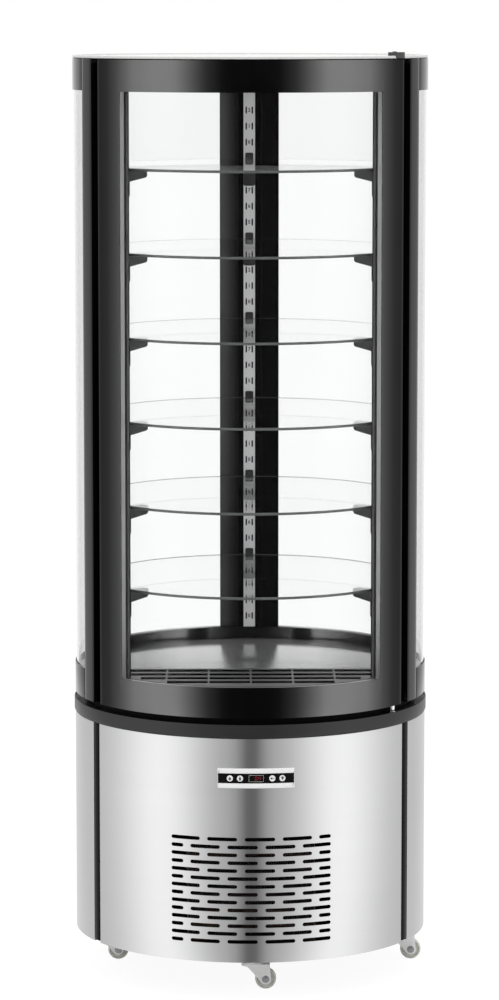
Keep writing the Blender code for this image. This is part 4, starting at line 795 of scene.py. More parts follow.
class StageSettings(bpy.types.PropertyGroup):
    side_light: bpy.props.FloatProperty(
        name="Side Light", description="Strength of the two tall soft lights", default=1.75, min=0.0)
    front_light: bpy.props.FloatProperty(
        name="Front Light", description="Strength of the room in front", default=0.52, min=0.0)
    back_light: bpy.props.FloatProperty(
        name="Back Light", description="Strength of the room behind", default=1.15, min=0.0)
    camera_place: bpy.props.FloatVectorProperty(
        name="Camera Place", description="Where the camera stands", default=(-0.0467, -7.4329, 1.8439),
        subtype="TRANSLATION", size=3)
    camera_pitch: bpy.props.FloatProperty(
        name="Camera Pitch", description="How far the camera looks down", default=degrees(7.175),
        subtype="ANGLE")
    camera_turn: bpy.props.FloatProperty(
        name="Camera Turn", description="How far the camera has gone round the case", default=degrees(-0.35),
        subtype="ANGLE")
    camera_lens: bpy.props.FloatProperty(
        name="Lens", description="Focal length for a 36 mm frame", default=139.18)


# Undercarriage

CASTERS = {
    "front": Vector((0.0, -0.235, 0.0)),
    "rear": Vector((0.0, 0.235, 0.0)),
    "left": Vector((-0.287, 0.0, 0.0)),
    "right": Vector((0.287, 0.0, 0.0)),
}
CASTER_TOP = 0.0572
BEAM_HALF = 0.022
BEAM_WALL = 0.002
BEAM_END = 0.022
PLATE_HALF = 0.020
PLATE_SHEET = 0.002
PLATE_CORNER = 0.004
PLATE_BOLT_INSET = 0.006
PLATE_BOLT_RADIUS = 0.0032
PLATE_BOLT_HEIGHT = 0.0022
CUP_RADIUS = 0.015
CUP_HEIGHT = 0.0045
KINGPIN_RADIUS = 0.004
KINGPIN_HEAD_RADIUS = 0.0065
KINGPIN_HEAD = 0.002
TRAIL = 0.028
WHEEL_RADIUS = 0.020
WHEEL_HALF = 0.0085
WHEEL_HUB_RADIUS = 0.009
WHEEL_RIM_RADIUS = 0.0160
WHEEL_RECESS = 0.0022
WHEEL_EDGE = 0.0006
HUB_PROUD = 0.0007
HUB_BEVEL = 0.0004
# Shoulder of the tread, as (in from the radius, in from the side)
TREAD_SHOULDER = ((0.0016, 0.0005), (0.0004, 0.0020), (0.0, 0.0040))
AXLE_BORE = 0.0034
AXLE_RADIUS = 0.003
AXLE_END = 0.0004
FORK_SHEET = 0.002
FORK_INNER = 0.0096
FORK_BEND = 0.003
FORK_FRONT = 0.018
FORK_BACK = 0.036
FORK_LIP = 0.0045
FORK_EYE_RADIUS = 0.0105
FORK_OUTER = FORK_INNER + FORK_SHEET
FORK_TOP = CASTER_TOP - PLATE_SHEET - CUP_HEIGHT - FIT
NUT_RADIUS = 0.0052
NUT_HEIGHT = 0.003
NUT_SIDES = 6
WASHER_RADIUS = NUT_RADIUS * 1.35
WASHER_SHEET = 0.0006
WHEEL_CENTRE = Vector((TRAIL, 0.0, WHEEL_RADIUS))


def model_cross():
    """Cross of two channels, open at the top."""
    high = top("base_frame")
    side = CASTERS["right"].x + BEAM_END
    front = CASTERS["rear"].y + BEAM_END
    half = BEAM_HALF
    outline = [
        (-half, -front), (half, -front), (half, -half), (side, -half), (side, half), (half, half),
        (half, front), (-half, front), (-half, half), (-side, half), (-side, -half), (-half, -half),
    ]
    piece = plan("base_cross", outline, CASTER_TOP, high)
    bpy.ops.object.mode_set(mode="EDIT")
    choose_faces(piece, lambda normal: normal.z > LEVEL)
    bpy.ops.mesh.inset(thickness=BEAM_WALL, depth=0.0)
    push(UP * (CASTER_TOP + BEAM_WALL - high))
    settle(tidy_shell(piece), "root", "black_lacquer", ["base_frame"],
           edge=sizes().sheet_edge)


def model_caster_plate():
    """Plate with rounded corners, its bearing cup, the kingpin and four bolts."""
    inset = PLATE_HALF - PLATE_CORNER
    outline = []
    for quarter, (x, y) in enumerate(((inset, inset), (-inset, inset), (-inset, -inset), (inset, -inset))):
        outline += circle((x, y), PLATE_CORNER, 4, quarter * QUARTER, QUARTER)
    low = CASTER_TOP - PLATE_SHEET
    plate = round_edges(plan("caster_plate", outline, low, CASTER_TOP - FIT / 2), FIT)
    cup = lathe("cup", [
        (0.0, low + FIT), (CUP_RADIUS, low + FIT), (CUP_RADIUS, low - CUP_HEIGHT * 0.45),
        (CUP_RADIUS * 0.93, low - CUP_HEIGHT * 0.55), (CUP_RADIUS * 0.93, low - CUP_HEIGHT * 0.8),
        (CUP_RADIUS * 0.84, low - CUP_HEIGHT), (0.0, low - CUP_HEIGHT),
    ], AXIS_FOOT)
    head = FORK_TOP - FORK_SHEET - FIT
    pin = lathe("kingpin", [
        (0.0, low), (KINGPIN_RADIUS, low), (KINGPIN_RADIUS, head), (KINGPIN_HEAD_RADIUS, head),
        (KINGPIN_HEAD_RADIUS * 0.9, head - KINGPIN_HEAD * 0.6), (KINGPIN_HEAD_RADIUS * 0.5, head - KINGPIN_HEAD),
        (0.0, head - KINGPIN_HEAD),
    ], AXIS_FOOT, steps=PIN_STEPS)
    at = PLATE_HALF - PLATE_BOLT_INSET
    bolt = lathe("bolt", [
        (0.0, low + FIT), (PLATE_BOLT_RADIUS, low + FIT), (PLATE_BOLT_RADIUS, low - PLATE_BOLT_HEIGHT * 0.8),
        (PLATE_BOLT_RADIUS * 0.85, low - PLATE_BOLT_HEIGHT), (0.0, low - PLATE_BOLT_HEIGHT),
    ], Vector((at, at, 0.0)), steps=NUT_SIDES)
    bolts = [copy_of(bolt, "bolt_copy", Matrix.Rotation(QUARTER * turn, 4, "Z")) for turn in (1, 2, 3)]
    return join([plate, cup, pin, bolt, *bolts])


def fork_side_outline():
    """Side of the fork, in (trailing distance, height): its roof, the slant to the eye and the eye itself."""
    eye = circle((TRAIL, WHEEL_RADIUS), FORK_EYE_RADIUS, 14, degrees(-150), degrees(172))
    roof = FORK_TOP + OVERRUN
    return [
        (-FORK_FRONT, roof), (-FORK_FRONT, FORK_TOP - FORK_LIP * 0.8), (-FORK_FRONT * 0.85, FORK_TOP - FORK_LIP),
        (-FORK_FRONT * 0.3, FORK_TOP - FORK_LIP * 1.7), *eye, (FORK_BACK, FORK_TOP - FORK_LIP), (FORK_BACK, roof),
    ]


def model_fork():
    """Pressed fork, bent from one sheet."""
    bend_centre = (FORK_OUTER - FORK_BEND, FORK_TOP - FORK_BEND)
    right = [(FORK_OUTER, 0.0), *circle(bend_centre, FORK_BEND, 4, 0.0, QUARTER)]
    inner_bend = circle(bend_centre, FORK_BEND - FORK_SHEET, 4, 0.0, QUARTER)
    inside_left = [(-FORK_INNER, 0.0), *[(-across, height) for across, height in inner_bend]]
    section = right + mirrored(right) + inside_left + mirrored(inside_left)
    bent = raise_outline("fork", [Vector((-FORK_FRONT - OVERRUN, across, height)) for across, height in section],
                         RIGHT * (FORK_FRONT + FORK_BACK + OVERRUN * 3))
    side = [Vector((along, -FORK_OUTER * 2, height)) for along, height in fork_side_outline()]
    cut(bent, raise_outline("fork_side", side, -FRONT * FORK_OUTER * 4), "INTERSECT")
    hole = lathe("hole", [(0.0, -OVERRUN), (KINGPIN_RADIUS + FIT, -OVERRUN), (KINGPIN_RADIUS + FIT, OVERRUN),
                          (0.0, OVERRUN)], Vector((0.0, 0.0, FORK_TOP)), steps=PIN_STEPS)
    return round_edges(cut(bent, hole), FIT)


def model_axle():
    """Axle bolt through the fork's eyes, with a washer and a nut at each end."""
    outer, reach = FORK_OUTER, FORK_OUTER + NUT_HEIGHT
    parts = [lathe("axle", [(0.0, -outer - FIT), (AXLE_RADIUS, -outer - FIT), (AXLE_RADIUS, reach + AXLE_END),
                            (0.0, reach + AXLE_END)], WHEEL_CENTRE, axis=FRONT, steps=PIN_STEPS)]
    for sign in (-1, 1):
        parts.append(lathe("washer", [
            (0.0, sign * (outer - FIT)), (WASHER_RADIUS, sign * (outer - FIT)),
            (WASHER_RADIUS, sign * (outer + WASHER_SHEET)), (0.0, sign * (outer + WASHER_SHEET)),
        ], WHEEL_CENTRE, axis=FRONT))
        parts.append(lathe("nut", [
            (0.0, sign * outer), (NUT_RADIUS, sign * outer), (NUT_RADIUS, sign * (outer + NUT_HEIGHT * 0.75)),
            (NUT_RADIUS * 0.86, sign * reach), (0.0, sign * reach),
        ], WHEEL_CENTRE, axis=FRONT, steps=NUT_SIDES))
    return join(parts)


def model_wheel():
    """Moulded wheel: hub, sunken web and rounded tread."""
    half, rim, hub, edge = WHEEL_HALF, WHEEL_RIM_RADIUS, WHEEL_HUB_RADIUS, WHEEL_EDGE
    side = [
        (AXLE_BORE, half + HUB_PROUD), (hub - edge * 2, half + HUB_PROUD), (hub, half - HUB_BEVEL),
        (hub + edge, half - WHEEL_RECESS), (rim - edge, half - WHEEL_RECESS), (rim, half - edge), (rim + edge, half),
        *[(WHEEL_RADIUS - inwards, half - down) for inwards, down in TREAD_SHOULDER],
    ]
    section = side + [(radius, -along) for radius, along in reversed(side)]
    return lathe("wheel", section, WHEEL_CENTRE, axis=FRONT, arm=UP, steps=64)


class CASE_OT_undercarriage(bpy.types.Operator):
    """Cross of channels and the four swivel casters"""
    bl_idname = "case.undercarriage"
    bl_label = "Undercarriage"

    def execute(self, context):
        model_cross()
        # Each pattern with its pieces' name, body, finish, slot and node, where the caster's side is added
        patterns = (
            (model_caster_plate(), "caster_plate_", "root", "zinc_plate", "zinc", "base_frame"),
            (model_fork(), "fork_pressing_", "fork_", "zinc_plate", "zinc", "caster_fork_"),
            (model_axle(), "axle_bolt_", "fork_", "spacer_aluminium", "zinc", "caster_fork_"),
            (model_wheel(), "wheel_moulding_", "wheel_", "wheel_nylon", "wheel_nylon", "caster_wheel_"),
        )
        for side, spot in CASTERS.items():
            for pattern, name, body, finish, slot, node in patterns:
                body, node = [word + side if word.endswith("_") else word for word in (body, node)]
                settle(copy_of(pattern, name + side, Matrix.Translation(spot)), body, finish, [node])
        throw_away(*[row[0] for row in patterns])
        return {"FINISHED"}


# Base

PANEL_SHEET = 0.0012
UPRIGHT_HALF = 0.0105
UPRIGHT_STEP = 0.0016                 # shoulder at each edge of an upright's cap
UPRIGHT_WING = 0.0040                 # closes the joint from behind each panel's edge
UPRIGHT_FACE = CASE_RADIUS + FIT
UPRIGHT_BAR_RADIUS = 0.310
UPRIGHT_AZIMUTHS = {"left": degrees(-60), "right": degrees(60), "rear": degrees(180)}
TRAY_RADIUS = 0.3272
TRAY_LIP = 0.010
TRAY_FLOOR = 0.003
TRAY_WALL = 0.0015
TRAY_EDGE = 0.002
UPRIGHT_FOOT = 0.0034                 # foot of the uprights over the tray's underside
BELT_OUTER = CASE_RADIUS + 0.002
BELT_WALL = 0.0025
BELT_DEPTH = 0.024
BELT_CHANNEL = 0.0037
BELT_STEP = 0.0016
BELT_STEP_FOOT = 0.0022
BELT_STEP_HEAD = 0.0030
BELT_EDGE = 0.0006
PANEL_HALF_ANGLE = degrees(60) - (UPRIGHT_HALF + RADIAL_FIT) / FLANGE_RADIUS
SLOT_ROWS = 14
SLOT_ROW_PITCH = 0.01505
SLOT_PITCH = 0.0714
SLOT_FIELD = 0.310
SLOT_MARGIN = 0.040
SLOT_END_STEPS = 6
SLOT_COLUMNS = 5                      # the last one is short
CONTROL_AZIMUTH = 0.009 / CASE_RADIUS
CONTROL_Z = PANEL_TOP + FIT - 0.0745
BODY_WIDTH = 0.136
BODY_HEIGHT = 0.030
CUTOUT_PLAY = 0.001
INLET_AZIMUTH = degrees(168)
INLET_Z = PANEL_BOTTOM + 0.060
INLET_WIDTH = 0.030
INLET_TALL = 0.024


def panel_section():
    """Sheet with a flange folded inwards at its head and foot, in (radius, height)."""
    low, high, inner = PANEL_BOTTOM, PANEL_TOP, CASE_RADIUS - PANEL_SHEET
    return [
        (CASE_RADIUS, low), (CASE_RADIUS, high), (FLANGE_RADIUS, high), (FLANGE_RADIUS, high - PANEL_SHEET),
        (inner, high - PANEL_SHEET), (inner, low + PANEL_SHEET), (FLANGE_RADIUS, low + PANEL_SHEET),
        (FLANGE_RADIUS, low),
    ]


def slot_tool(length):
    """Cutter for one slot with round ends, drawn at the front."""
    radius = sizes().slot_height / 2
    reach = length / 2 - radius
    outline = circle((reach, 0.0), radius, SLOT_END_STEPS, -QUARTER, math.pi)
    outline += circle((-reach, 0.0), radius, SLOT_END_STEPS, QUARTER, math.pi)
    start = -CASE_RADIUS - OVERRUN
    return raise_outline("slot_tool", [Vector((x, start, z)) for x, z in outline], -FRONT * OVERRUN * 3)


def slot_tools():
    """All slots of the brick pattern, as one tool."""
    length = sizes().slot_length
    half_field = SLOT_FIELD / 2
    short = half_field - (SLOT_PITCH * (SLOT_COLUMNS - 1) - half_field)
    full_tool, short_tool = slot_tool(length), slot_tool(short)
    tools = []
    for row in range(SLOT_ROWS):
        height = PANEL_BOTTOM + SLOT_MARGIN + row * SLOT_ROW_PITCH
        side = 1 if row % 2 else -1
        for column in range(SLOT_COLUMNS):
            last = column == SLOT_COLUMNS - 1
            pattern, size = (short_tool, short) if last else (full_tool, length)
            middle = column * SLOT_PITCH + size / 2 - half_field
            tools.append(copy_of(pattern, "slot", facing(side * middle / CASE_RADIUS, height)))
    throw_away(short_tool, full_tool)
    return join(tools)


def model_panels():
    """Three panels from one folded sheet, with the slots and openings that each of them has."""
    sheet = sweep("front_panel", panel_section(), -PANEL_HALF_ANGLE, PANEL_HALF_ANGLE, PANEL_STEP)
    round_edges(sheet, sizes().sheet_edge)
    left = copy_of(sheet, "left_panel", facing(-TURN / 3))
    right = copy_of(sheet, "right_panel", facing(TURN / 3))
    cut(sheet, slot_tools())
    half = (BODY_WIDTH / 2 + CUTOUT_PLAY) / CASE_RADIUS
    cut(sheet, slab("opening", CASE_RADIUS - OVERRUN, CASE_RADIUS + OVERRUN, CONTROL_AZIMUTH - half,
                    CONTROL_AZIMUTH + half, CONTROL_Z - BODY_HEIGHT / 2 - CUTOUT_PLAY,
                    CONTROL_Z + BODY_HEIGHT / 2 + CUTOUT_PLAY))
    wide, tall = INLET_WIDTH / 2 + CUTOUT_PLAY, INLET_TALL / 2 + CUTOUT_PLAY
    hole = block("opening", (-wide, -CASE_RADIUS - OVERRUN, -tall), (wide, -CASE_RADIUS + OVERRUN, tall))
    cut(right, place(hole, facing(INLET_AZIMUTH, INLET_Z)))
    for piece, node in ((sheet, "base_front_panel"), (left, "base_left_panel"), (right, "base_right_panel")):
        settle(piece, "root", "brushed_steel", [node])


def model_chassis():
    """Round tray and the three uprights, whose caps are the black trims."""
    low = bottom("chassis")
    radius, skin = TRAY_RADIUS, TRAY_RADIUS - TRAY_WALL
    tray = lathe("base_tray", raised([
        (0.0, 0.0), (radius - TRAY_EDGE, 0.0), (radius, TRAY_EDGE), (radius, TRAY_LIP), (skin, TRAY_LIP),
        (skin, TRAY_FLOOR), (0.0, TRAY_FLOOR)], low), AXIS_FOOT, steps=DISC_STEPS)
    settle(tray, "root", "black_plastic", ["chassis"])
    half, step, face = UPRIGHT_HALF, UPRIGHT_STEP, UPRIGHT_FACE
    behind, wing = CASE_RADIUS - PANEL_SHEET - FIT * 3, UPRIGHT_HALF + UPRIGHT_WING
    right = [
        (half - step * 1.4, -face), (half - step, -face + step), (half, -face + step), (half, -behind),
        (wing, -behind), (wing, -behind + step), (half, -FLANGE_RADIUS),
    ]
    bar = [(half * 0.7, -FLANGE_RADIUS), (half * 0.7, -UPRIGHT_BAR_RADIUS)]
    outline = mirrored(right) + right + bar + mirrored(bar)
    edge = sizes().sheet_edge / 2
    pattern = round_edges(plan("upright", outline, low + UPRIGHT_FOOT, PANEL_TOP), edge)
    for side, azimuth in UPRIGHT_AZIMUTHS.items():
        piece = copy_of(pattern, "upright_" + side, facing(azimuth))
        settle(piece, "root", "black_lacquer", ["chassis"])
    throw_away(pattern)


def model_belt():
    """Black ring on the base: a lip on top, and a small step back along its foot."""
    outer, inner, foot = BELT_OUTER, BELT_OUTER - BELT_DEPTH, BELT_OUTER - BELT_STEP
    wall, channel = BELT_OUTER - BELT_WALL, BELT_TOP - BELT_CHANNEL
    belt = sweep("belt", [
        (inner, BELT_BOTTOM), (foot, BELT_BOTTOM), (foot, BELT_BOTTOM + BELT_STEP_FOOT),
        (outer, BELT_BOTTOM + BELT_STEP_HEAD), (outer, BELT_TOP), (wall, BELT_TOP), (wall, channel),
        (inner, channel),
    ])
    settle(belt, "root", "belt_paint", ["belt_ring"], edge=BELT_EDGE)


class CASE_OT_base(bpy.types.Operator):
    """Steel panels, tray, uprights and the belt on top"""
    bl_idname = "case.base"
    bl_label = "Base"

    def execute(self, context):
        model_panels()
        model_chassis()
        model_belt()
        return {"FINISHED"}


# Rings, roof and ceiling

RING_START = POST_FAR + RADIAL_FIT / CASE_RADIUS
RING_WALL = 0.0015
RING_LIP_RISE = 0.0147
RING_LEDGE = 0.008
RING_LEDGE_SHEET = 0.002
SEAM_AZIMUTH = degrees(71.4)
SEAM_WIDTH = 0.0009
SEAM_DEPTH = 0.0011
ROOF_RADIUS = CASE_RADIUS - 0.001
ROOF_CHAMFER = 0.0006
RIM_EDGE = 0.0008
RIM_WIDTH = 0.0068
# The groove inside the rim: its depth, and how far in from the roof's edge its floor starts and ends
GROOVE_DEPTH = 0.0009
GROOVE_START = 0.0080
GROOVE_END = 0.0168
GROOVE_RAMP_END = 0.018
# Screw of the roof, as (radius, height over the roof)
ROOF_SCREW = ((0.0, -0.0011), (0.0032, -0.0011), (0.0030, -0.0004), (0.0020, 0.0004), (0.0009, 0.0006),
              (0.0007, -0.0001), (0.0, -0.0001))
ROOF_SCREW_INSET = 0.013
ROOF_SCREWS = 6


def cut_seams(piece, low, high):
    """Fine upright joints in a band's skin, one on each side."""
    half = SEAM_WIDTH / 2
    tool = block("seam", (-half, -CASE_RADIUS - OVERRUN, low - OVERRUN),
                 (half, -CASE_RADIUS + SEAM_DEPTH, high + OVERRUN))
    other = copy_of(tool, "seam", facing(-SEAM_AZIMUTH))
    cut(piece, join([place(tool, facing(SEAM_AZIMUTH)), other]))


def model_lower_ring():
    """Seat of the deck, and the band below the side panes."""
    frame_edge = sizes().frame_edge
    inner, lip = CHANNEL_INNER_RADIUS, CHANNEL_LIP_RADIUS
    seat_inner, seat_top = SEAT_RADIUS - SEAT_WIDTH, DECK_BOTTOM - FIT
    seat = sweep("lower_seat", [
        (seat_inner, CABIN_BOTTOM), (SEAT_RADIUS, CABIN_BOTTOM), (SEAT_RADIUS, seat_top), (seat_inner, seat_top)])
    settle(seat, "root", "black_plastic", ["lower_ring"], edge=frame_edge)
    skin, floor, lip_top = CASE_RADIUS - RING_WALL, PANE_BOTTOM - FIT, LOWER_BAND_TOP + RING_LIP_RISE
    band = sweep("lower_band", [
        (inner, CABIN_BOTTOM), (CASE_RADIUS, CABIN_BOTTOM), (CASE_RADIUS, LOWER_BAND_TOP), (skin, LOWER_BAND_TOP),
        (skin, floor), (lip, floor), (lip, lip_top), (inner, lip_top)], RING_START, TURN - RING_START)
    finish_band(band, CABIN_BOTTOM, LOWER_BAND_TOP, "lower_ring")


def finish_band(band, low, high, node):
    """Softens a band's edges, cuts its seams and paints it."""
    round_edges(band, sizes().frame_edge * 0.7)
    cut_seams(band, low, high)
    settle(band, "root", "black_lacquer", [node])


def model_upper_ring():
    """Seat under the ceiling, and the band above the side panes."""
    inner, lip = CHANNEL_INNER_RADIUS, CHANNEL_LIP_RADIUS
    seat_inner, ledge = SEAT_RADIUS - SEAT_WIDTH, SEAT_RADIUS - SEAT_WIDTH - RING_LEDGE
    low = UPPER_BAND_BOTTOM
    seat = sweep("upper_seat", [
        (seat_inner, CABIN_TOP), (SEAT_RADIUS, CABIN_TOP), (SEAT_RADIUS, low), (ledge, low),
        (ledge, low + RING_LEDGE_SHEET), (seat_inner, low + RING_LEDGE_SHEET)])
    settle(seat, "root", "black_plastic", ["upper_ring"],
           edge=sizes().frame_edge * 0.7)
    skin, roof = CASE_RADIUS - RING_WALL, PANE_TOP + FIT
    band = sweep("upper_band", [
        (inner, low - RING_WALL), (lip, low - RING_WALL), (lip, roof), (skin, roof), (skin, low),
        (CASE_RADIUS, low), (CASE_RADIUS, CABIN_TOP - OVERLAP), (inner, CABIN_TOP - OVERLAP)],
        RING_START, TURN - RING_START)
    finish_band(band, low, CABIN_TOP, "upper_ring")


def model_roof():
    """Painted cover with a raised rim, a groove inside it and screws in the groove."""
    low, high = bottom("top_cover"), top("top_cover")
    outer, rim, groove = ROOF_RADIUS, high + ROOF_RIM_RISE, high - GROOVE_DEPTH
    cover = lathe("roof_cover", [
        (0.0, low), (outer - ROOF_CHAMFER, low), (outer, low + ROOF_CHAMFER), (outer, rim - RIM_EDGE),
        (outer - RIM_EDGE, rim), (outer - RIM_WIDTH, rim), (outer - GROOVE_START, groove),
        (outer - GROOVE_END, groove), (outer - GROOVE_RAMP_END, high), (0.0, high),
    ], AXIS_FOOT, steps=DISC_STEPS)
    settle(cover, "root", "roof_paint", ["top_cover"])
    screw = lathe("screw", raised(ROOF_SCREW, high), Vector((0.0, -outer + ROOF_SCREW_INSET, 0.0)), steps=PIN_STEPS)
    others = [copy_of(screw, "screw", Matrix.Rotation(TURN / ROOF_SCREWS * index, 4, "Z"))
              for index in range(1, ROOF_SCREWS)]
    settle(join([screw, *others], "roof_screws"), "root", "zinc_plate", ["top_cover"])


class CASE_OT_rings(bpy.types.Operator):
    """Black bands that hold the glass, the roof cover and the ceiling"""
    bl_idname = "case.rings"
    bl_label = "Bands and Roof"

    def execute(self, context):
        model_lower_ring()
        model_upper_ring()
        model_roof()
        dress("white_paint", "ceiling_panel")
        dress("floor_skin", "cabin_floor")
        return {"FINISHED"}


# Posts, column, rack strip and brackets

POST_NEAR = degrees(61.6)
POST_INNER_RADIUS = 0.306
POST_WALL = 0.002
WEB_SHEET = 0.004
WEB_LAP = degrees(1.2)
WEB_TIP = 0.0125
BRACKET_AZIMUTHS = {"left": degrees(-52.3), "right": degrees(52.3), "rear": degrees(180)}
COLUMN_HALF = 0.059
COLUMN_NECK = COLUMN_HALF - 0.013     # the side glass laps behind the column
COLUMN_SEAM = 0.024
COLUMN_SEAM_WIDTH = 0.0012
COLUMN_SEAM_DEPTH = 0.0014
STRIP_HALF = 0.0115
STRIP_SHEET = 0.0015
STRIP_FOLD = 0.0011
RACK_PITCH = 0.0318
RACK_HOLE_HALF_HEIGHT = 0.007
RACK_HOLE_WIDTH = 0.003
RACK_HOLE_SPACING = 0.012
RACK_MARGIN = 0.022
COLUMN_FACE = RAIL_FACE + STRIP_SHEET + FIT
STRIP_SUNK = STRIP_FOLD * 0.35         # the strip's face lies this far behind its folded edges
DIGIT_SUNK = 0.0001
DIGIT_HEIGHT = 0.00008
DIGIT_BOLD = 0.0003
BRACKET_SHEET = 0.002
BRACKET_DROP = 0.054
BRACKET_RISE = 0.012
BRACKET_HALF = 0.012
BRACKET_FOOT_CORNER = 0.003
BRACKET_CORNER = 0.002
TAB_HALF = 0.008
ARM_REACH = 0.045
ARM_HALF = 0.008
ARM_TIP = 0.0130
ARM_ROOT = 0.0205
ARM_WALL = 0.0018
ARM_SKIN = 0.0022
SHELF_GLASS = 0.005


def web_point(along, depth):
    """A point in the flat seat of the front brackets, given along the seat and out from the axis."""
    azimuth = BRACKET_AZIMUTHS["right"]
    spot = polar(depth, azimuth) + Vector((math.cos(azimuth), math.sin(azimuth), 0.0)) * along
    return (spot.x, spot.y)


def model_posts():
    """Hollow post at each side of the door, with the web that the brackets hang on."""
    low, high = bottom("front_post_right"), top("front_post_right")
    wall = POST_WALL / CASE_RADIUS
    post = plan("post", arc(CASE_RADIUS, POST_NEAR, POST_FAR) + arc(POST_INNER_RADIUS, POST_FAR, POST_NEAR),
                low, high)
    hollow = plan("hollow", arc(CASE_RADIUS - POST_WALL, POST_NEAR + wall, POST_FAR - wall)
                  + arc(POST_INNER_RADIUS + POST_WALL, POST_FAR - wall, POST_NEAR + wall),
                  low - OVERRUN, high + OVERRUN)
    cut(post, hollow)
    start, end = POST_NEAR + wall / 2, POST_NEAR + WEB_LAP
    post_inside = POST_INNER_RADIUS + POST_WALL / 2
    connector = [(spot.x, spot.y)
                 for spot in (polar(post_inside, start), polar(post_inside, end), polar(RAIL_FACE, end))]
    web = plan("web", [
        web_point(-WEB_TIP, RAIL_FACE), web_point(-WEB_TIP, RAIL_FACE + WEB_SHEET),
        *arc(SEAT_RADIUS, BRACKET_AZIMUTHS["right"], start), *connector, web_point(WEB_TIP, RAIL_FACE)],
        DECK_BOTTOM, UPPER_BAND_BOTTOM - FIT)
    cut(post, web, "UNION")
    round_edges(post, sizes().frame_edge * 0.8)
    other = copy_of(post, "post_left", mirror_side())
    post.name = "post_right"
    settle(post, "root", "black_lacquer", ["front_post_right"])
    settle(other, "root", "black_lacquer", ["front_post_left"])


def model_column():
    """Duct at the back: two fine seams down its face, and a skin behind that fills the gap in the glass."""
    half, face, depth = COLUMN_HALF, COLUMN_FACE, COLUMN_SEAM_DEPTH
    back = OUTER_PANE - OVERLAP
    corner = math.asin(COLUMN_NECK / back)
    low, high = bottom("rack_strip"), top("rack_strip")
    shoulder = math.sqrt((INNER_PANE - GLASS) ** 2 - half ** 2) - RADIAL_FIT
    front = [(-half, face)]
    for seam in (-COLUMN_SEAM, COLUMN_SEAM):
        left, right = seam - COLUMN_SEAM_WIDTH / 2, seam + COLUMN_SEAM_WIDTH / 2
        front += [(left, face), (left, face + depth), (right, face + depth), (right, face)]
    rear = [(half, shoulder), *arc(back, math.pi - corner, math.pi + corner), (-half, shoulder)]
    rear.insert(1, (COLUMN_NECK, shoulder))
    rear.insert(-1, (-COLUMN_NECK, shoulder))
    duct = plan("column_duct", front + [(half, face)] + rear, low, high)
    settle(duct, "root", "column_paint", ["rear_column"], edge=FINE_EDGE)
    corner = math.asin(COLUMN_NECK / OUTER_PANE)
    skin = slab("column_skin", OUTER_PANE - POST_WALL, OUTER_PANE, math.pi - corner, math.pi + corner,
                bottom("rear_column"), top("rear_column"))
    settle(skin, "root", "black_lacquer", ["rear_column"], edge=FINE_EDGE)


def rack_heights():
    """Heights of the strip's pairs of slots."""
    count = math.floor((STRIP_TOP - STRIP_BOTTOM - RACK_MARGIN * 2) / RACK_PITCH) + 1
    return [STRIP_BOTTOM + RACK_MARGIN + index * RACK_PITCH for index in range(count)]


def model_rack_strip():
    """Painted strip with folded edges, a pair of slots at each step and a number between them."""
    half, fold, face = STRIP_HALF, STRIP_FOLD, RAIL_FACE
    back, sunk = face + STRIP_SHEET, face + STRIP_SUNK
    strip = plan("strip", [
        (-half, back), (-half, face), (-half + fold, face), (-half + fold, sunk),
        (half - fold, sunk), (half - fold, face), (half, face), (half, back),
    ], STRIP_BOTTOM, STRIP_TOP)
    radius = RACK_HOLE_WIDTH / 2
    reach = RACK_HOLE_HALF_HEIGHT - radius
    ring = circle((0.0, reach), radius, 4, 0.0, math.pi) + circle((0.0, -reach), radius, 4, math.pi, math.pi)
    pattern = raise_outline("hole", [Vector((x, face - OVERRUN, z)) for x, z in ring], -FRONT * OVERRUN * 3)
    tools = [copy_of(pattern, "hole", Matrix.Translation((side * RACK_HOLE_SPACING / 2, 0.0, height)))
             for height in rack_heights() for side in (-1, 1)]
    throw_away(pattern)
    cut(strip, join(tools))
    settle(strip, "root", "strip_paint", ["rack_strip"])
    numbers = [model_digit(index % 10, Vector((0.0, sunk - DIGIT_SUNK, height)))
               for index, height in enumerate(rack_heights())]
    settle(tidy_shell(join(numbers, "rack_numbers")), "root", "dark_ink")


def model_digit(digit, spot):
    """One printed figure, as a thin mesh."""
    pick()
    bpy.ops.object.text_add(location=spot, rotation=(QUARTER, 0.0, 0.0))
    words = bpy.context.object.data
    words.body = str(digit)
    words.size = sizes().digit_height
    words.align_x = "CENTER"
    words.align_y = "CENTER"
    words.extrude = DIGIT_HEIGHT
    words.offset = DIGIT_BOLD
    words.resolution_u = 2
    bpy.ops.object.convert(target="MESH")
    return bpy.context.object


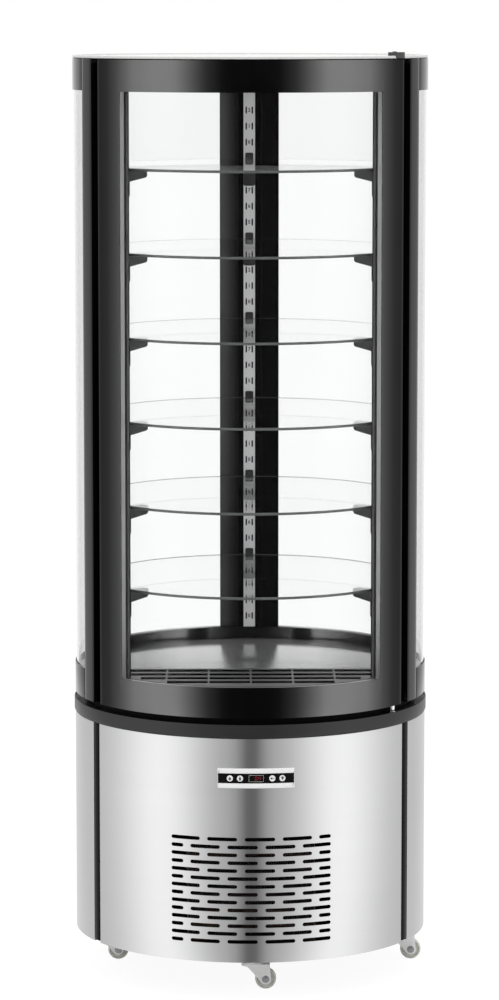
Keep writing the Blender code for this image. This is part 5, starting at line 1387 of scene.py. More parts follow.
def model_bracket():
    """Pressed bracket, drawn at the front and at the height of its shelf's top: plate, hooked tab and arm."""
    under = -SHELF_GLASS - FIT
    front = RAIL_FACE - BRACKET_SHEET
    half, drop, rise, tab = BRACKET_HALF, BRACKET_DROP, BRACKET_RISE, TAB_HALF
    foot, corner = BRACKET_FOOT_CORNER, BRACKET_CORNER
    face = [
        (-half + foot, -drop), (half - foot, -drop), (half, -drop + foot), (half, under - corner),
        (half - corner, under), (tab, under), (tab, rise - corner), (tab - corner, rise),
        (-tab + corner, rise), (-tab, rise - corner), (-tab, under), (-half + corner, under),
        (-half, under - corner), (-half, -drop + foot),
    ]
    plate = raise_outline("bracket", [Vector((x, -RAIL_FACE, z)) for x, z in face], -FRONT * BRACKET_SHEET)
    end, tip = RAIL_FACE - ARM_REACH, under - ARM_TIP
    side = [
        (end + corner, under), (end, under - corner), (end, tip + foot), (end + foot, tip),
        (front + OVERLAP, under - ARM_ROOT), (front + OVERLAP, under),
    ]
    arm = raise_outline("arm", [Vector((-ARM_HALF, -depth, z)) for depth, z in side], RIGHT * ARM_HALF * 2)
    cut(plate, arm, "UNION")
    inside = ARM_HALF - ARM_WALL
    cut(plate, block("hollow", (-inside, -front, under - ARM_ROOT * 1.5), (inside, -end - corner, under - ARM_SKIN)))
    return round_edges(plate, FINE_EDGE)


class CASE_OT_cabin_frame(bpy.types.Operator):
    """Posts, rear column, rack strip and shelf brackets"""
    bl_idname = "case.cabin_frame"
    bl_label = "Posts and Brackets"

    def execute(self, context):
        model_posts()
        model_column()
        model_rack_strip()
        pattern = model_bracket()
        nodes = {"left": "front_post_left", "right": "front_post_right", "rear": "rack_strip"}
        for side, azimuth in BRACKET_AZIMUTHS.items():
            for index, height in enumerate(SHELF_TOPS):
                piece = copy_of(pattern, "bracket_{}_{}".format(side, index + 1), facing(azimuth, height))
                settle(piece, "root", "black_plastic", [nodes[side]])
        throw_away(pattern)
        dress("milky_cover", "light_strip_left", "light_strip_right")
        return {"FINISHED"}


# Shelves, deck and glass

SHELF_RADIUS = 0.2927
DECK_RADIUS = 0.2945
DECK_FRONT_EDGE = 0.070
GRILLE_ROWS = 4
GRILLE_BAYS = 6
GRILLE_BAY_PITCH = 0.080
GRILLE_ROW_PITCH = 0.042
GRILLE_SLOT_WIDTH = 0.030
GRILLE_BAR = 0.003
GRILLE_MARGIN = 0.006
GRILLE_RIM = 0.012
GRILLE_CORNER = 0.003
SPACER_WIDTH = 0.008
SIDE_PANE_START = POST_FAR + RADIAL_FIT / INNER_PANE * 2
SIDE_PANE_END = math.pi - math.asin(COLUMN_NECK / INNER_PANE) - RADIAL_FIT * 2 / INNER_PANE


def model_shelves():
    """Round glass shelves with a ground rim."""
    high = SHELF_TOPS[0]
    low, edge = high - SHELF_GLASS, sizes().glass_edge * 1.5
    pattern = lathe("shelf_glass_1", [
        (0.0, low), (SHELF_RADIUS - edge, low), (SHELF_RADIUS, low + edge), (SHELF_RADIUS, high - edge),
        (SHELF_RADIUS - edge, high), (0.0, high)], AXIS_FOOT, steps=DISC_STEPS)
    pieces = [pattern]
    for index, height in enumerate(SHELF_TOPS[1:]):
        name = "shelf_glass_{}".format(index + 2)
        pieces.append(copy_of(pattern, name, Matrix.Translation(UP * (height - high))))
    for piece, node in zip(pieces, SHELF_NAMES):
        settle(piece, "root", "shelf_glass", [node])
        paint_faces(piece, look("glass_edge"), lambda normal: abs(normal.z) < LEVEL)


def model_deck():
    """Plate at the back and grille in front, as one disc in two parts."""
    corner = math.acos(DECK_FRONT_EDGE / DECK_RADIUS)
    rear_corner = math.acos((DECK_FRONT_EDGE - FIT) / DECK_RADIUS)
    plate = plan("deck_sheet", arc(DECK_RADIUS, rear_corner, TURN - rear_corner), DECK_BOTTOM, DECK_TOP)
    settle(plate, "root", "deck_steel", ["deck_plate"], edge=sizes().sheet_edge * 0.6)
    grille = plan("deck_grille_sheet", arc(DECK_RADIUS, -corner, corner), DECK_BOTTOM, DECK_TOP)
    round_edges(grille, sizes().sheet_edge * 0.6)
    tools = []
    reach = DECK_RADIUS - GRILLE_RIM
    for row in range(GRILLE_ROWS):
        back = -(DECK_FRONT_EDGE + GRILLE_MARGIN + row * GRILLE_ROW_PITCH)
        front = back - GRILLE_SLOT_WIDTH
        half_row = math.sqrt(reach * reach - front * front)
        for bay in range(GRILLE_BAYS):
            left = (bay - GRILLE_BAYS / 2) * GRILLE_BAY_PITCH + GRILLE_BAR / 2
            right = min(left + GRILLE_BAY_PITCH - GRILLE_BAR, half_row)
            left = max(left, -half_row)
            if right - left > GRILLE_SLOT_WIDTH / 2:
                tools.append(grille_tool(left, right, front, back))
    cut(grille, join(tools))
    settle(grille, "root", "grille_paint", ["deck_grille"])


def grille_tool(left, right, front, back):
    """Cutter for one grille slot with rounded corners."""
    inset = GRILLE_CORNER
    corners = ((right - inset, back - inset), (left + inset, back - inset), (left + inset, front + inset),
               (right - inset, front + inset))
    outline = []
    for quarter, spot in enumerate(corners):
        outline += circle(spot, inset, 3, quarter * QUARTER, QUARTER)
    return plan("grille_tool", outline, DECK_BOTTOM - OVERRUN, DECK_TOP + OVERRUN)


def glass_pane(name, body, node, outer, start, end, low, high):
    """Curved pane with its ground edges."""
    pane = slab(name, outer - GLASS, outer, start, end, low, high)
    settle(pane, body, "clear_glass", [node], edge=sizes().glass_edge,
           segments=1)
    pane.data.materials.append(look("glass_edge"))


def ring_frame(name, inner, outer, start, end, low, high, border):
    """Curved frame: a slab with its window cut out, where border gives the side, foot and head."""
    frame_piece = slab(name, inner, outer, start, end, low, high)
    side, foot, head = border
    window = slab("window", inner - OVERRUN, outer + OVERRUN, start + side, end - side, low + foot, high - head)
    return cut(frame_piece, window)


def model_side_glass():
    """Two panes at each side, with the spacer bars between them."""
    for side, word in SIDES:
        start, end = sorted((side * SIDE_PANE_START, side * SIDE_PANE_END))
        for layer, outer in (("outer", OUTER_PANE), ("inner", INNER_PANE)):
            node = "side_glass_{}_{}".format(word, layer)
            glass_pane("pane_{}_{}".format(word, layer), "root", node, outer, start, end, PANE_BOTTOM, PANE_TOP)
        bars = ring_frame("spacer_" + word, SIDE_SPACER - SPACER_DEPTH, SIDE_SPACER, start, end, PANE_BOTTOM,
                          PANE_TOP, (SPACER_WIDTH / SIDE_SPACER, SPACER_WIDTH, SPACER_WIDTH))
        settle(bars, "root", "spacer_aluminium", ["side_glass_{}_spacer".format(word)], edge=FINE_EDGE,
               segments=1)


class CASE_OT_shelving(bpy.types.Operator):
    """Glass shelves and the steel deck with its grille"""
    bl_idname = "case.shelving"
    bl_label = "Shelves and Deck"

    def execute(self, context):
        model_shelves()
        model_deck()
        return {"FINISHED"}


class CASE_OT_side_glass(bpy.types.Operator):
    """Curved double panes at the sides, with their spacer bars"""
    bl_idname = "case.side_glass"
    bl_label = "Side Glass"

    def execute(self, context):
        model_side_glass()
        return {"FINISHED"}


# Door

DOOR_HALF = degrees(57.2)
WINDOW_HALF = degrees(46.0)
REVEAL_HALF = degrees(47.0)
DOOR_SKIN = 0.002
DOOR_WALL = 0.0025
LINER_OUTER = 0.3163
LINER_INNER = 0.3118
POCKET_RADIUS = LINER_OUTER + RADIAL_FIT
EDGE_HIDDEN = 0.002
GLASS_BITE = 0.0025
GASKET_OUTER = LINER_INNER - RADIAL_FIT
GASKET_INNER = SEAT_RADIUS + RADIAL_FIT
GASKET_WIDTH = 0.018
GASKET_SETBACK = 0.012
GASKET_EDGE = 0.0022
PIVOT_RADIUS = CASE_RADIUS - 0.0132
PIVOT_AZIMUTH = DOOR_HALF - 0.012 / PIVOT_RADIUS
PIVOT = polar(PIVOT_RADIUS, PIVOT_AZIMUTH)
HINGE_HALF = 0.014
HINGE_DEPTH = 0.018
HINGE_SHIFT = 0.003
HINGE_LIP = 0.0015
HINGE_REBATE = 0.0007
HINGE_EDGE = 0.0010
HINGE_SCREW_PROUD = 0.0013
# Screw on the hinge block, as (radius, height over its top)
HINGE_SCREW = ((0.0, -0.003), (0.0042, -0.003), (0.0042, -0.0008), (0.0034, 0.0), (0.0018, 0.0), (0.0016, -0.0012),
               (0.0, -0.0012))
HINGE_PIN_RADIUS = 0.0040
PIN_EDGE = 0.001
PIVOT_FLANGE_RADIUS = 0.0080
PIVOT_FLANGE_SHEET = 0.0020
PIVOT_FLANGE_EDGE = 0.0006
PIVOT_PIN_RADIUS = 0.0060


def model_door_frame():
    """Curved frame, hollow behind its skin."""
    low, high = DOOR_BOTTOM, DOOR_TOP
    border = (DOOR_HALF - WINDOW_HALF, LOWER_BAND_TOP - low, high - UPPER_BAND_BOTTOM)
    piece = ring_frame("door_skin", POCKET_RADIUS, CASE_RADIUS, -DOOR_HALF, DOOR_HALF, low, high, border)
    wall = DOOR_WALL / CASE_RADIUS
    pocket = slab("pocket", POCKET_RADIUS - OVERRUN, CASE_RADIUS - DOOR_SKIN, wall - DOOR_HALF, DOOR_HALF - wall,
                  low + DOOR_WALL, high - DOOR_WALL)
    cut(piece, pocket)
    settle(piece, "door", "black_lacquer", ["door_frame"],
           edge=sizes().frame_edge)


def model_door_inside():
    """Inner liner, spacer bars, panes and the seal."""
    low, high = DOOR_BOTTOM, DOOR_TOP
    reveal_low, reveal_high = LOWER_BAND_TOP - EDGE_HIDDEN, UPPER_BAND_BOTTOM + EDGE_HIDDEN
    liner = ring_frame("door_liner_moulding", LINER_INNER, LINER_OUTER, -DOOR_HALF, DOOR_HALF, low, high,
                       (DOOR_HALF - REVEAL_HALF, reveal_low - low, high - reveal_high))
    settle(liner, "door", "liner_plastic", ["door_liner"], edge=SOFT_EDGE)
    half = REVEAL_HALF + SPACER_WIDTH / DOOR_SPACER
    bars = ring_frame("door_spacer_bars", DOOR_SPACER - SPACER_DEPTH, DOOR_SPACER, -half, half,
                      reveal_low - SPACER_WIDTH, reveal_high + SPACER_WIDTH,
                      (SPACER_WIDTH / DOOR_SPACER, SPACER_WIDTH, SPACER_WIDTH))
    settle(bars, "door", "spacer_aluminium", ["door_glass_spacer"], edge=FINE_EDGE, segments=1)
    half += GLASS_BITE / DOOR_SPACER
    pane_low, pane_high = reveal_low - SPACER_WIDTH - GLASS_BITE, reveal_high + SPACER_WIDTH + GLASS_BITE
    for layer, outer in (("outer", DOOR_OUTER_PANE), ("inner", DOOR_INNER_PANE)):
        glass_pane("door_pane_" + layer, "door", "door_glass_" + layer, outer, -half, half, pane_low, pane_high)

    near = REVEAL_HALF + GASKET_SETBACK / SEAT_RADIUS
    width = GASKET_WIDTH / SEAT_RADIUS
    seal_low = LOWER_BAND_TOP - GASKET_SETBACK - GASKET_WIDTH
    seal_high = UPPER_BAND_BOTTOM + GASKET_SETBACK + GASKET_WIDTH
    seal = ring_frame("door_seal", GASKET_INNER, GASKET_OUTER, -near - width, near + width, seal_low, seal_high,
                      (width, GASKET_WIDTH, GASKET_WIDTH))
    settle(seal, "door", "black_rubber", ["door_gasket"], edge=GASKET_EDGE, segments=3)


def model_hinges():
    """Block with its pin on the roof, and the pivot on the belt."""
    low, high = bottom("door_hinge_top"), top("door_hinge_top")
    foot, cover = bottom("top_cover"), top("top_cover") + FIT
    rim, back = CASE_RADIUS - HINGE_REBATE, HINGE_DEPTH / 2 - (PIVOT_RADIUS + HINGE_SHIFT)
    hinge = block("hinge_block", (-HINGE_HALF, -rim - HINGE_LIP, foot), (HINGE_HALF, back, high - HINGE_SCREW_PROUD))
    wide = HINGE_HALF + OVERRUN * 1.5
    cut(hinge, block("rebate", (-wide, -rim, CABIN_TOP - OVERRUN), (wide, back + OVERRUN, cover)))
    round_edges(hinge, HINGE_EDGE)
    centre, radius = Vector((0.0, -PIVOT_RADIUS, 0.0)), HINGE_PIN_RADIUS
    screw = lathe("screw", raised(HINGE_SCREW, high), centre, steps=18)
    pin = lathe("pin", [(0.0, low), (radius - PIN_EDGE, low), (radius, low + PIN_EDGE), (radius, cover + OVERLAP),
                        (0.0, cover + OVERLAP)], centre)
    piece = place(join([hinge, screw, pin]), facing(PIVOT_AZIMUTH))
    settle(piece, "root", "black_plastic", ["door_hinge_top"])

    low, high = bottom("door_hinge_bottom"), top("door_hinge_bottom")
    flange, sheet, edge = PIVOT_FLANGE_RADIUS, PIVOT_FLANGE_SHEET, PIVOT_FLANGE_EDGE
    pivot = lathe("pivot_pin", [
        (0.0, low), (flange, low), (flange, low + sheet - edge), (flange - edge, low + sheet),
        (PIVOT_PIN_RADIUS, low + sheet), (PIVOT_PIN_RADIUS, high - PIN_EDGE), (PIVOT_PIN_RADIUS - PIN_EDGE, high),
        (0.0, high)], PIVOT, steps=32)
    settle(pivot, "root", "turned_steel", ["door_hinge_bottom"])


class CASE_OT_door(bpy.types.Operator):
    """Hinged door: frame, liner, double panes, spacer bars and seal"""
    bl_idname = "case.door"
    bl_label = "Door"

    def execute(self, context):
        model_door_frame()
        model_door_inside()
        return {"FINISHED"}


class CASE_OT_hinges(bpy.types.Operator):
    """Hinge block on the roof and pivot pin on the belt"""
    bl_idname = "case.hinges"
    bl_label = "Hinges"

    def execute(self, context):
        model_hinges()
        return {"FINISHED"}


# Controller and inlet

BEZEL_HALF = 0.072
BEZEL_HALF_HEIGHT = 0.01875
BEZEL_INNER = CASE_RADIUS + FIT
BEZEL_OUTER = BEZEL_INNER + 0.0024
WINDOW_HALF_WIDTH = 0.071
WINDOW_HALF_HEIGHT = 0.009
WINDOW_OUTER = BEZEL_OUTER + FIT
WINDOW_SHEET = 0.001
BUTTON_RADIUS = 0.00575
BUTTON_FACE = WINDOW_OUTER + 0.0012
BUTTON_BACK = BUTTON_FACE - 0.0055
BORE_PLAY = 0.003
# Edge of a button's cap, as (in from its radius, back from its face)
BUTTON_RIM = ((0.0, 0.0008), (0.0005, 0.0001), (0.0010, 0.0), (0.0016, 0.0003))
BUTTON_DISH = 0.0003
MARK_SCALE = 1.3
BUTTON_OFFSETS = {"up": -0.0488, "light": -0.030, "set": 0.030, "down": 0.0488}
# Marks on the buttons, in (across, up) from the button's middle: two arrows, a lamp and a key
ARROW_HEAD = ((-0.0024, -0.0014), (0.0024, -0.0014), (0.0, 0.0024))
ARROW_FOOT = ((-0.0008, -0.0026), (0.0008, -0.0026), (0.0008, -0.0012), (-0.0008, -0.0012))
BULB_TIP = (0.0, 0.0032)
BULB_CENTRE = (0.0, -0.0004)
BULB_RADIUS = 0.0017
BULB_START, BULB_SWEEP = degrees(35), degrees(-250)
BULB_BASE = ((-0.0012, -0.0031), (0.0012, -0.0031), (0.0012, -0.0025), (-0.0012, -0.0025))
BOW_CENTRE = (-0.0014, 0.0)
BOW_RADIUS = 0.0014
KEY_BIT = ((-0.0002, -0.0004), (0.0030, -0.0004), (0.0030, 0.0004), (-0.0002, 0.0004))
MARK_HEIGHT = 0.00012
FIGURE_HEIGHT = 0.0002
DISPLAY_LINE = 0.0003
# Middles of the display's two figures, across from its own middle
DISPLAY_FIGURES = (("0", 0.0), ("4", 0.0062))
HOUSING_DEPTH = 0.045
BEZEL_EDGE = 0.0006
WINDOW_EDGE = 0.0002
INLET_LIP = 0.004
INLET_FLANGE = 0.002
INLET_DEPTH = 0.025
INLET_WELL = 0.014
INLET_PINS = ((-0.0050, -0.0018), (0.0, 0.0022), (0.0050, -0.0018))
INLET_PIN_HALF_WIDTH = 0.0007
INLET_PIN_HALF_HEIGHT = 0.0020
INLET_PIN_FRONT = 0.004
INLET_PIN_BACK = 0.015
DISPLAY_HALF = 0.0135
DISPLAY_HALF_HEIGHT = 0.0062
SEGMENT_LENGTH = 0.0036
SEGMENT_WIDTH = 0.0008


def front_outline(points, radius):
    """Outline in (across, up) laid on the controller's face at the front."""
    return [Vector((x, -radius, z)) for x, z in points]


def stamp(name, points, radius=BUTTON_FACE, height=MARK_HEIGHT):
    """Thin raised mark on a face."""
    return raise_outline(name, front_outline(points, radius - height / 2), FRONT * height * 1.5)


def icon(kind):
    """Mark of a button in its parts, a few millimetres high, drawn at the front."""
    if kind in ("up", "down"):
        sign = 1 if kind == "up" else -1
        return [stamp("arrow", [(x, z * sign) for x, z in points]) for points in (ARROW_HEAD, ARROW_FOOT)]
    if kind == "light":
        drop = [BULB_TIP, *circle(BULB_CENTRE, BULB_RADIUS, 10, BULB_START, BULB_SWEEP)]
        return [stamp("bulb", drop), stamp("base", BULB_BASE)]
    return [stamp("bow", circle(BOW_CENTRE, BOW_RADIUS, 12)), stamp("bit", KEY_BIT)]


def control_slab(name, half_width, half_height, inner, outer):
    """Curved plate about the middle of the controller."""
    half = half_width / CASE_RADIUS
    return slab(name, inner, outer, CONTROL_AZIMUTH - half, CONTROL_AZIMUTH + half, CONTROL_Z - half_height,
                CONTROL_Z + half_height, PANEL_STEP)


def button_azimuth(offset):
    return CONTROL_AZIMUTH + offset / CASE_RADIUS


def button_holes():
    """Four bores for the buttons, as one tool."""
    tools = []
    for offset in BUTTON_OFFSETS.values():
        radius = BUTTON_RADIUS + FIT
        back, front = BUTTON_BACK - BORE_PLAY, BUTTON_FACE + OVERRUN
        tool = lathe("bore", [(0.0, back), (radius, back), (radius, front), (0.0, front)], AXIS_FOOT, axis=FRONT,
                     steps=32)
        tools.append(place(tool, facing(button_azimuth(offset), CONTROL_Z)))
    return join(tools)


def model_bezel():
    """Light face with the housing behind it."""
    bezel = control_slab("bezel", BEZEL_HALF, BEZEL_HALF_HEIGHT, BEZEL_INNER, BEZEL_OUTER)
    cut(bezel, control_slab("recess", WINDOW_HALF_WIDTH + FIT, WINDOW_HALF_HEIGHT + FIT,
                            WINDOW_OUTER - WINDOW_SHEET - FIT, WINDOW_OUTER + OVERRUN))
    round_edges(bezel, BEZEL_EDGE)
    housing = control_slab("housing", BODY_WIDTH / 2, BODY_HEIGHT / 2, CASE_RADIUS - HOUSING_DEPTH,
                           BEZEL_INNER + OVERLAP)
    cut(bezel, round_edges(housing, SOFT_EDGE), "UNION")
    cut(bezel, button_holes())
    settle(bezel, "root", "light_plastic", ["control_bezel"])


def model_window():
    """Black window, with the bores of the buttons."""
    window = control_slab("control_glass", WINDOW_HALF_WIDTH, WINDOW_HALF_HEIGHT, WINDOW_OUTER - WINDOW_SHEET,
                          WINDOW_OUTER)
    cut(round_edges(window, WINDOW_EDGE), button_holes())
    settle(window, "root", "black_acrylic", ["control_window"])


def digit_segments(figure):
    """Segments of one figure, in (across, up) from its middle, as short bars."""
    long, half = SEGMENT_LENGTH, SEGMENT_WIDTH / 2
    bars = {
        "top": (0.0, long, False), "middle": (0.0, 0.0, False), "foot": (0.0, -long, False),
        "top_left": (-long / 2, long / 2, True), "top_right": (long / 2, long / 2, True),
        "foot_left": (-long / 2, -long / 2, True), "foot_right": (long / 2, -long / 2, True),
    }
    lit = {
        "0": ("top", "foot", "top_left", "top_right", "foot_left", "foot_right"),
        "4": ("middle", "top_left", "top_right", "foot_right"),
    }
    outlines = []
    for word in lit[figure]:
        x, z, upright = bars[word]
        reach = long / 2 - half
        points = [(-reach, 0.0), (-reach + half, -half), (reach - half, -half), (reach, 0.0), (reach - half, half),
                  (-reach + half, half)]
        if upright:
            points = [(across, along) for along, across in points]
        outlines.append([(x + across, z + along) for across, along in points])
    return outlines


def model_display():
    """Thin frame of the display and its lit figures."""
    half, tall, line = DISPLAY_HALF, DISPLAY_HALF_HEIGHT, DISPLAY_LINE
    bars = []
    for low, high in (((-half, -tall), (half, -tall + line)), ((-half, tall - line), (half, tall)),
                      ((-half, -tall), (-half + line, tall)), ((half - line, -tall), (half, tall))):
        bars.append(slab("line", WINDOW_OUTER - MARK_HEIGHT, WINDOW_OUTER + MARK_HEIGHT, button_azimuth(low[0]),
                         button_azimuth(high[0]), CONTROL_Z + low[1], CONTROL_Z + high[1], PANEL_STEP))
    settle(join(bars, "display_outline"), "root", "strip_paint")

    figures = []
    for figure, across in DISPLAY_FIGURES:
        for points in digit_segments(figure):
            mark = stamp("segment", points, WINDOW_OUTER, FIGURE_HEIGHT)
            figures.append(place(mark, facing(button_azimuth(across), CONTROL_Z)))
    settle(join(figures, "display_figures"), "root", "red_segments")


def model_buttons():
    """Four round buttons with a dished face, each with its mark."""
    for word, offset in BUTTON_OFFSETS.items():
        rim = [(BUTTON_RADIUS - inwards, BUTTON_FACE - back) for inwards, back in BUTTON_RIM]
        button = lathe("button_cap_" + word, [
            (0.0, BUTTON_BACK), (BUTTON_RADIUS, BUTTON_BACK), *rim, (0.0, BUTTON_FACE - BUTTON_DISH),
        ], AXIS_FOOT, axis=FRONT, steps=48)
        move = facing(button_azimuth(offset), CONTROL_Z)
        settle(place(button, move), "key_" + word, "light_plastic", ["button_" + word])
        mark = pick(join(icon(word), "button_mark_" + word))
        bpy.ops.transform.resize(value=(MARK_SCALE, 1.0, MARK_SCALE), center_override=AXIS_FOOT)
        apply_moves()
        settle(place(mark, move), "key_" + word, "dark_ink")


def model_inlet():
    """Inlet socket: flange, sunken well and three pins."""
    wide, tall, lip = INLET_WIDTH / 2, INLET_TALL / 2, INLET_LIP
    face, move = CASE_RADIUS + FIT, facing(INLET_AZIMUTH, INLET_Z)
    flange = block("inlet_socket", (-wide - lip, -face - INLET_FLANGE, -tall - lip), (wide + lip, -face, tall + lip))
    round_edges(flange, SOFT_EDGE)
    cut(flange, block("body", (-wide, -face - OVERLAP, -tall), (wide, -face + INLET_DEPTH, tall)), "UNION")
    well = raise_outline("well", front_outline([
        (-wide * 0.62, -tall * 0.62), (wide * 0.62, -tall * 0.62), (wide * 0.62, tall * 0.3),
        (wide * 0.40, tall * 0.62), (-wide * 0.40, tall * 0.62), (-wide * 0.62, tall * 0.3)], face + OVERRUN),
        -FRONT * (OVERRUN + INLET_WELL))
    settle(place(cut(flange, well), move), "root", "black_plastic", ["power_inlet"])
    half, high = INLET_PIN_HALF_WIDTH, INLET_PIN_HALF_HEIGHT
    pins = [round_edges(block("pin", (x - half, -face + INLET_PIN_FRONT, z - high),
                              (x + half, -face + INLET_PIN_BACK, z + high)), FINE_EDGE) for x, z in INLET_PINS]
    settle(place(join(pins, "inlet_pins"), move), "root", "turned_steel", ["power_inlet"])


class CASE_OT_controller(bpy.types.Operator):
    """Controller face, window, display and buttons"""
    bl_idname = "case.controller"
    bl_label = "Controller"

    def execute(self, context):
        model_bezel()
        model_window()
        model_display()
        model_buttons()
        return {"FINISHED"}


class CASE_OT_inlet(bpy.types.Operator):
    """Power inlet in the right-hand panel"""
    bl_idname = "case.inlet"
    bl_label = "Power Inlet"

    def execute(self, context):
        model_inlet()
        return {"FINISHED"}


# Machinery

FIN_COUNT = 72
FIN_SHEET = 0.0004
TUBE_RADIUS = 0.0045
TUBE_ROWS = 7
TUBE_DEPTH_SHARES = (0.3, 0.7)
TUBE_OVERHANG = 0.004
TUBE_EDGE = 0.0015
TUBE_TAPER = 0.001
FIN_MARGIN = 0.003
END_PLATE = 0.0015


def model_condenser():
    """Fins between two end plates, with the rows of copper tube that carry them."""
    low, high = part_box("condenser")
    pitch, middle = (high.x - low.x) / FIN_COUNT, (low.y + high.y) / 2
    near = low.x + pitch / 2
    fin = plan("condenser_fins", [
        (near, low.y), (near + FIN_SHEET, low.y), (near + FIN_SHEET * 2.5, middle), (near + FIN_SHEET, high.y),
        (near, high.y), (near + FIN_SHEET * 1.5, middle),
    ], low.z + FIN_MARGIN, high.z - FIN_MARGIN)
    apply_modifier(fin, "ARRAY", count=FIN_COUNT, use_relative_offset=False, use_constant_offset=True,
                   constant_offset_displace=(pitch, 0.0, 0.0))
    # The fins' dark colour is painted shade.
    settle(fin, "root", "shaded_fin_aluminium", ["condenser"])
    sheet = END_PLATE
    plates = [block("plate", (x, low.y, low.z), (x + sheet, high.y, high.z)) for x in (low.x, high.x - sheet)]
    plates += [block("plate", (low.x, low.y, z), (high.x, high.y, z + sheet)) for z in (low.z, high.z - sheet)]
    for plate in plates:
        round_edges(plate, FINE_EDGE)
    settle(join(plates, "condenser_case"), "root", "shaded_fin_aluminium", ["condenser"])
    tubes = []
    step, end = (high.z - low.z) / (TUBE_ROWS + 1), high.x - low.x + TUBE_OVERHANG * 2
    for row in range(TUBE_ROWS):
        for depth in TUBE_DEPTH_SHARES:
            start = Vector((low.x - TUBE_OVERHANG, low.y + (high.y - low.y) * depth, low.z + step * (row + 1)))
            tubes.append(lathe("tube", [
                (0.0, 0.0), (TUBE_RADIUS - TUBE_TAPER, 0.0), (TUBE_RADIUS, TUBE_EDGE), (TUBE_RADIUS, end - TUBE_EDGE),
                (TUBE_RADIUS - TUBE_TAPER, end), (0.0, end)], start, axis=RIGHT, arm=UP, steps=12))
    settle(join(tubes, "condenser_tubes"), "root", "copper_tube", ["condenser"])


class CASE_OT_machinery(bpy.types.Operator):
    """Condenser in full, and finishes for the rest of the machinery"""
    bl_idname = "case.machinery"
    bl_label = "Machinery"

    def execute(self, context):
        model_condenser()
        dress("black_lacquer", "compressor")
        dress("black_plastic", "condenser_shroud", "condenser_fan", "evaporator_fan")
        dress("shaded_fin_aluminium", "evaporator_coil")
        return {"FINISHED"}


# Stage

FLOOR_HALF = 40.0
FLOOR_WHITE = 0.935                   # glow of the floor where it is seen, on top of its own shade
OVERHEAD_FOOT = 0.62                  # height in a direction where the room's light overhead begins
OVERHEAD_BLEND = 0.25
LAMP_PLACE = (0.0, -0.6, 4.2)
LAMP_SIZE = 2.4
LAMP_POWER = 40.0
FILM_WIDTH = 36.0                     # millimetres
FAR_CLIP = 200.0
# Light of the room between front and back, as (degrees from the front, share of the side lights' strength)
ROOM_LEVELS = ((30, 0.52), (44, 0.86), (54, 1.04), (66, 1.04), (84, 0.78), (100, 0.56), (118, 0.47), (140, 0.52))
ROOM_FRONT_END = 14
ROOM_BACK_START = 160


def make_floor():
    """Pale floor with the case's shadow: near white to the camera and through glass, clear to mirrors."""
    pick()
    bpy.ops.mesh.primitive_plane_add(size=FLOOR_HALF * 2)
    floor = bpy.context.object
    floor.name = "studio_floor"
    bpy.ops.object.mode_set(mode="EDIT")
    bpy.ops.mesh.subdivide(number_cuts=3)
    pick(floor)
    material, recipe = new_look("studio_floor")
    seen, through, glossy = recipe.light_path("camera", "through", "glossy")
    pale = recipe.add("ShaderNodeBsdfDiffuse", Color=colour(0.80))
    shaded = recipe.add("ShaderNodeBsdfDiffuse", Color=colour(0.12))
    white = recipe.add("ShaderNodeEmission", Color=colour(1.0), Strength=FLOOR_WHITE)
    lit = recipe.add("ShaderNodeAddShader", in_0=shaded, in_1=white)
    clear = recipe.add("ShaderNodeBsdfTransparent", Color=colour(1.0))
    look_of = recipe.add("ShaderNodeMixShader", in_0=seen.math("MAXIMUM", through), in_1=pale, in_2=lit)
    recipe.finish(recipe.add("ShaderNodeMixShader", in_0=glossy * (1.0 - through), in_1=look_of, in_2=clear))
    paint(floor, material)


def make_world():
    """Plain studio: dim ahead, a tall soft light at each side, a pale room behind; white where it is seen."""
    settings = bpy.context.scene.case_stage
    world = bpy.data.worlds.new("studio")
    bpy.context.scene.world = world
    world.use_nodes = True
    recipe = Recipe(world.node_tree)
    direction = recipe.add("ShaderNodeTexCoord", outlet=0)
    across, along, height = [recipe.split(direction, part) for part in range(3)]
    peak = settings.side_light
    front, back = settings.front_light / peak, settings.back_light / peak
    level = recipe.by_angle(recipe.turn_of(across, along), [
        (0, front), (ROOM_FRONT_END, front), *ROOM_LEVELS, (ROOM_BACK_START, back), (HALF_TURN, back)])
    overhead = ((height - OVERHEAD_FOOT) / OVERHEAD_BLEND).clipped()
    strength = level * (1.0 - overhead) * peak + overhead
    room = recipe.add("ShaderNodeBackground", Color=colour(1.0), Strength=strength)
    white = recipe.add("ShaderNodeBackground", Color=colour(1.0), Strength=1.0)
    seen, through = recipe.light_path("camera", "through")
    both = recipe.add("ShaderNodeMixShader", in_0=seen.math("MAXIMUM", through), in_1=room, in_2=white)
    recipe.add("ShaderNodeOutputWorld", Surface=both)


def make_lamp():
    """Soft lamp overhead, which only lifts the level surfaces and draws the shadow."""
    pick()
    bpy.ops.object.light_add(type="AREA", location=LAMP_PLACE)
    lamp = bpy.context.object
    lamp.name = "overhead_lamp"
    lamp.data.shape = "SQUARE"
    lamp.data.size = LAMP_SIZE
    lamp.data.energy = LAMP_POWER


def make_camera():
    """Camera, placed by the sidebar's settings."""
    settings = bpy.context.scene.case_stage
    pick()
    bpy.ops.object.camera_add(location=settings.camera_place,
                              rotation=(QUARTER - settings.camera_pitch, 0.0, settings.camera_turn))
    camera = bpy.context.object
    camera.name = "studio_camera"
    camera.data.sensor_width = FILM_WIDTH
    camera.data.sensor_fit = "AUTO"
    camera.data.lens = settings.camera_lens
    camera.data.clip_end = FAR_CLIP
    camera.data.dof.use_dof = False
    bpy.context.scene.camera = camera


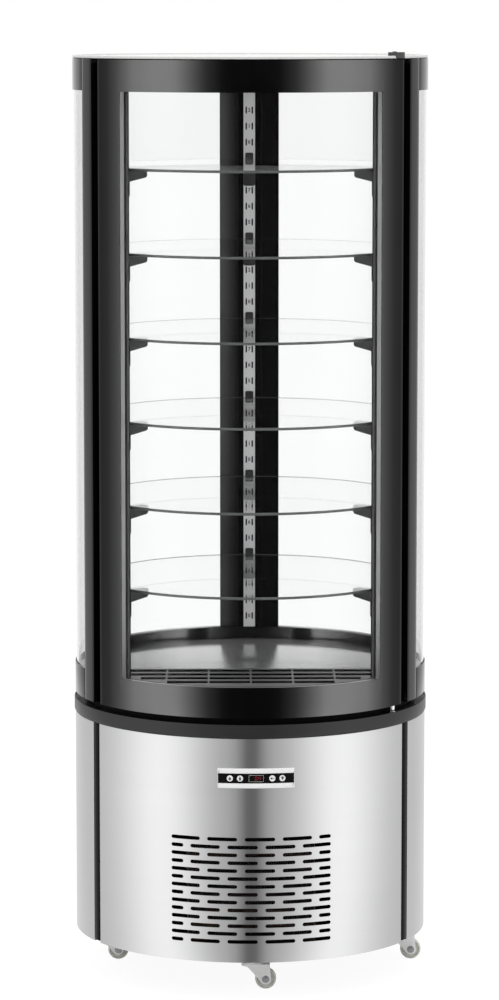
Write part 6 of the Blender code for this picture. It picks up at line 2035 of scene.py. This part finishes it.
class CASE_OT_stage(bpy.types.Operator):
    """Floor, studio light and camera"""
    bl_idname = "case.stage"
    bl_label = "Stage"

    def execute(self, context):
        make_floor()
        make_world()
        make_lamp()
        make_camera()
        context.scene.view_settings.view_transform = "Standard"
        return {"FINISHED"}


class CASE_PT_panel(bpy.types.Panel):
    """Lists the operators and the sizes and colours of the case"""
    bl_idname = "CASE_PT_panel"
    bl_label = "Display Case"
    bl_space_type = "VIEW_3D"
    bl_region_type = "UI"
    bl_category = "Display Case"

    def draw(self, context):
        layout = self.layout
        for operator in OPERATORS:
            layout.operator(operator.bl_idname)
        for group in (context.scene.case_sizes, context.scene.case_colours, context.scene.case_stage):
            column = layout.column()
            for name in group.bl_rna.properties.keys():
                if name not in ("rna_type", "name"):
                    column.prop(group, name)


OPERATORS = (
    CASE_OT_undercarriage,
    CASE_OT_base,
    CASE_OT_rings,
    CASE_OT_cabin_frame,
    CASE_OT_shelving,
    CASE_OT_side_glass,
    CASE_OT_door,
    CASE_OT_hinges,
    CASE_OT_controller,
    CASE_OT_inlet,
    CASE_OT_machinery,
    CASE_OT_stage,
)
GROUPS = (CaseSizes, CaseColours, StageSettings)


def register():
    for kind in (*GROUPS, *OPERATORS, CASE_PT_panel):
        bpy.utils.register_class(kind)
    bpy.types.Scene.case_sizes = bpy.props.PointerProperty(type=CaseSizes)
    bpy.types.Scene.case_colours = bpy.props.PointerProperty(type=CaseColours)
    bpy.types.Scene.case_stage = bpy.props.PointerProperty(type=StageSettings)


def unregister():
    del bpy.types.Scene.case_stage
    del bpy.types.Scene.case_colours
    del bpy.types.Scene.case_sizes
    for kind in reversed((*GROUPS, *OPERATORS, CASE_PT_panel)):
        bpy.utils.unregister_class(kind)


def main():
    register()
    bpy.ops.case.undercarriage()
    bpy.ops.case.base()
    bpy.ops.case.rings()
    bpy.ops.case.cabin_frame()
    bpy.ops.case.shelving()
    bpy.ops.case.side_glass()
    bpy.ops.case.door()
    bpy.ops.case.hinges()
    bpy.ops.case.controller()
    bpy.ops.case.inlet()
    bpy.ops.case.machinery()
    bpy.ops.case.stage()


if __name__ == "__main__":
    main()
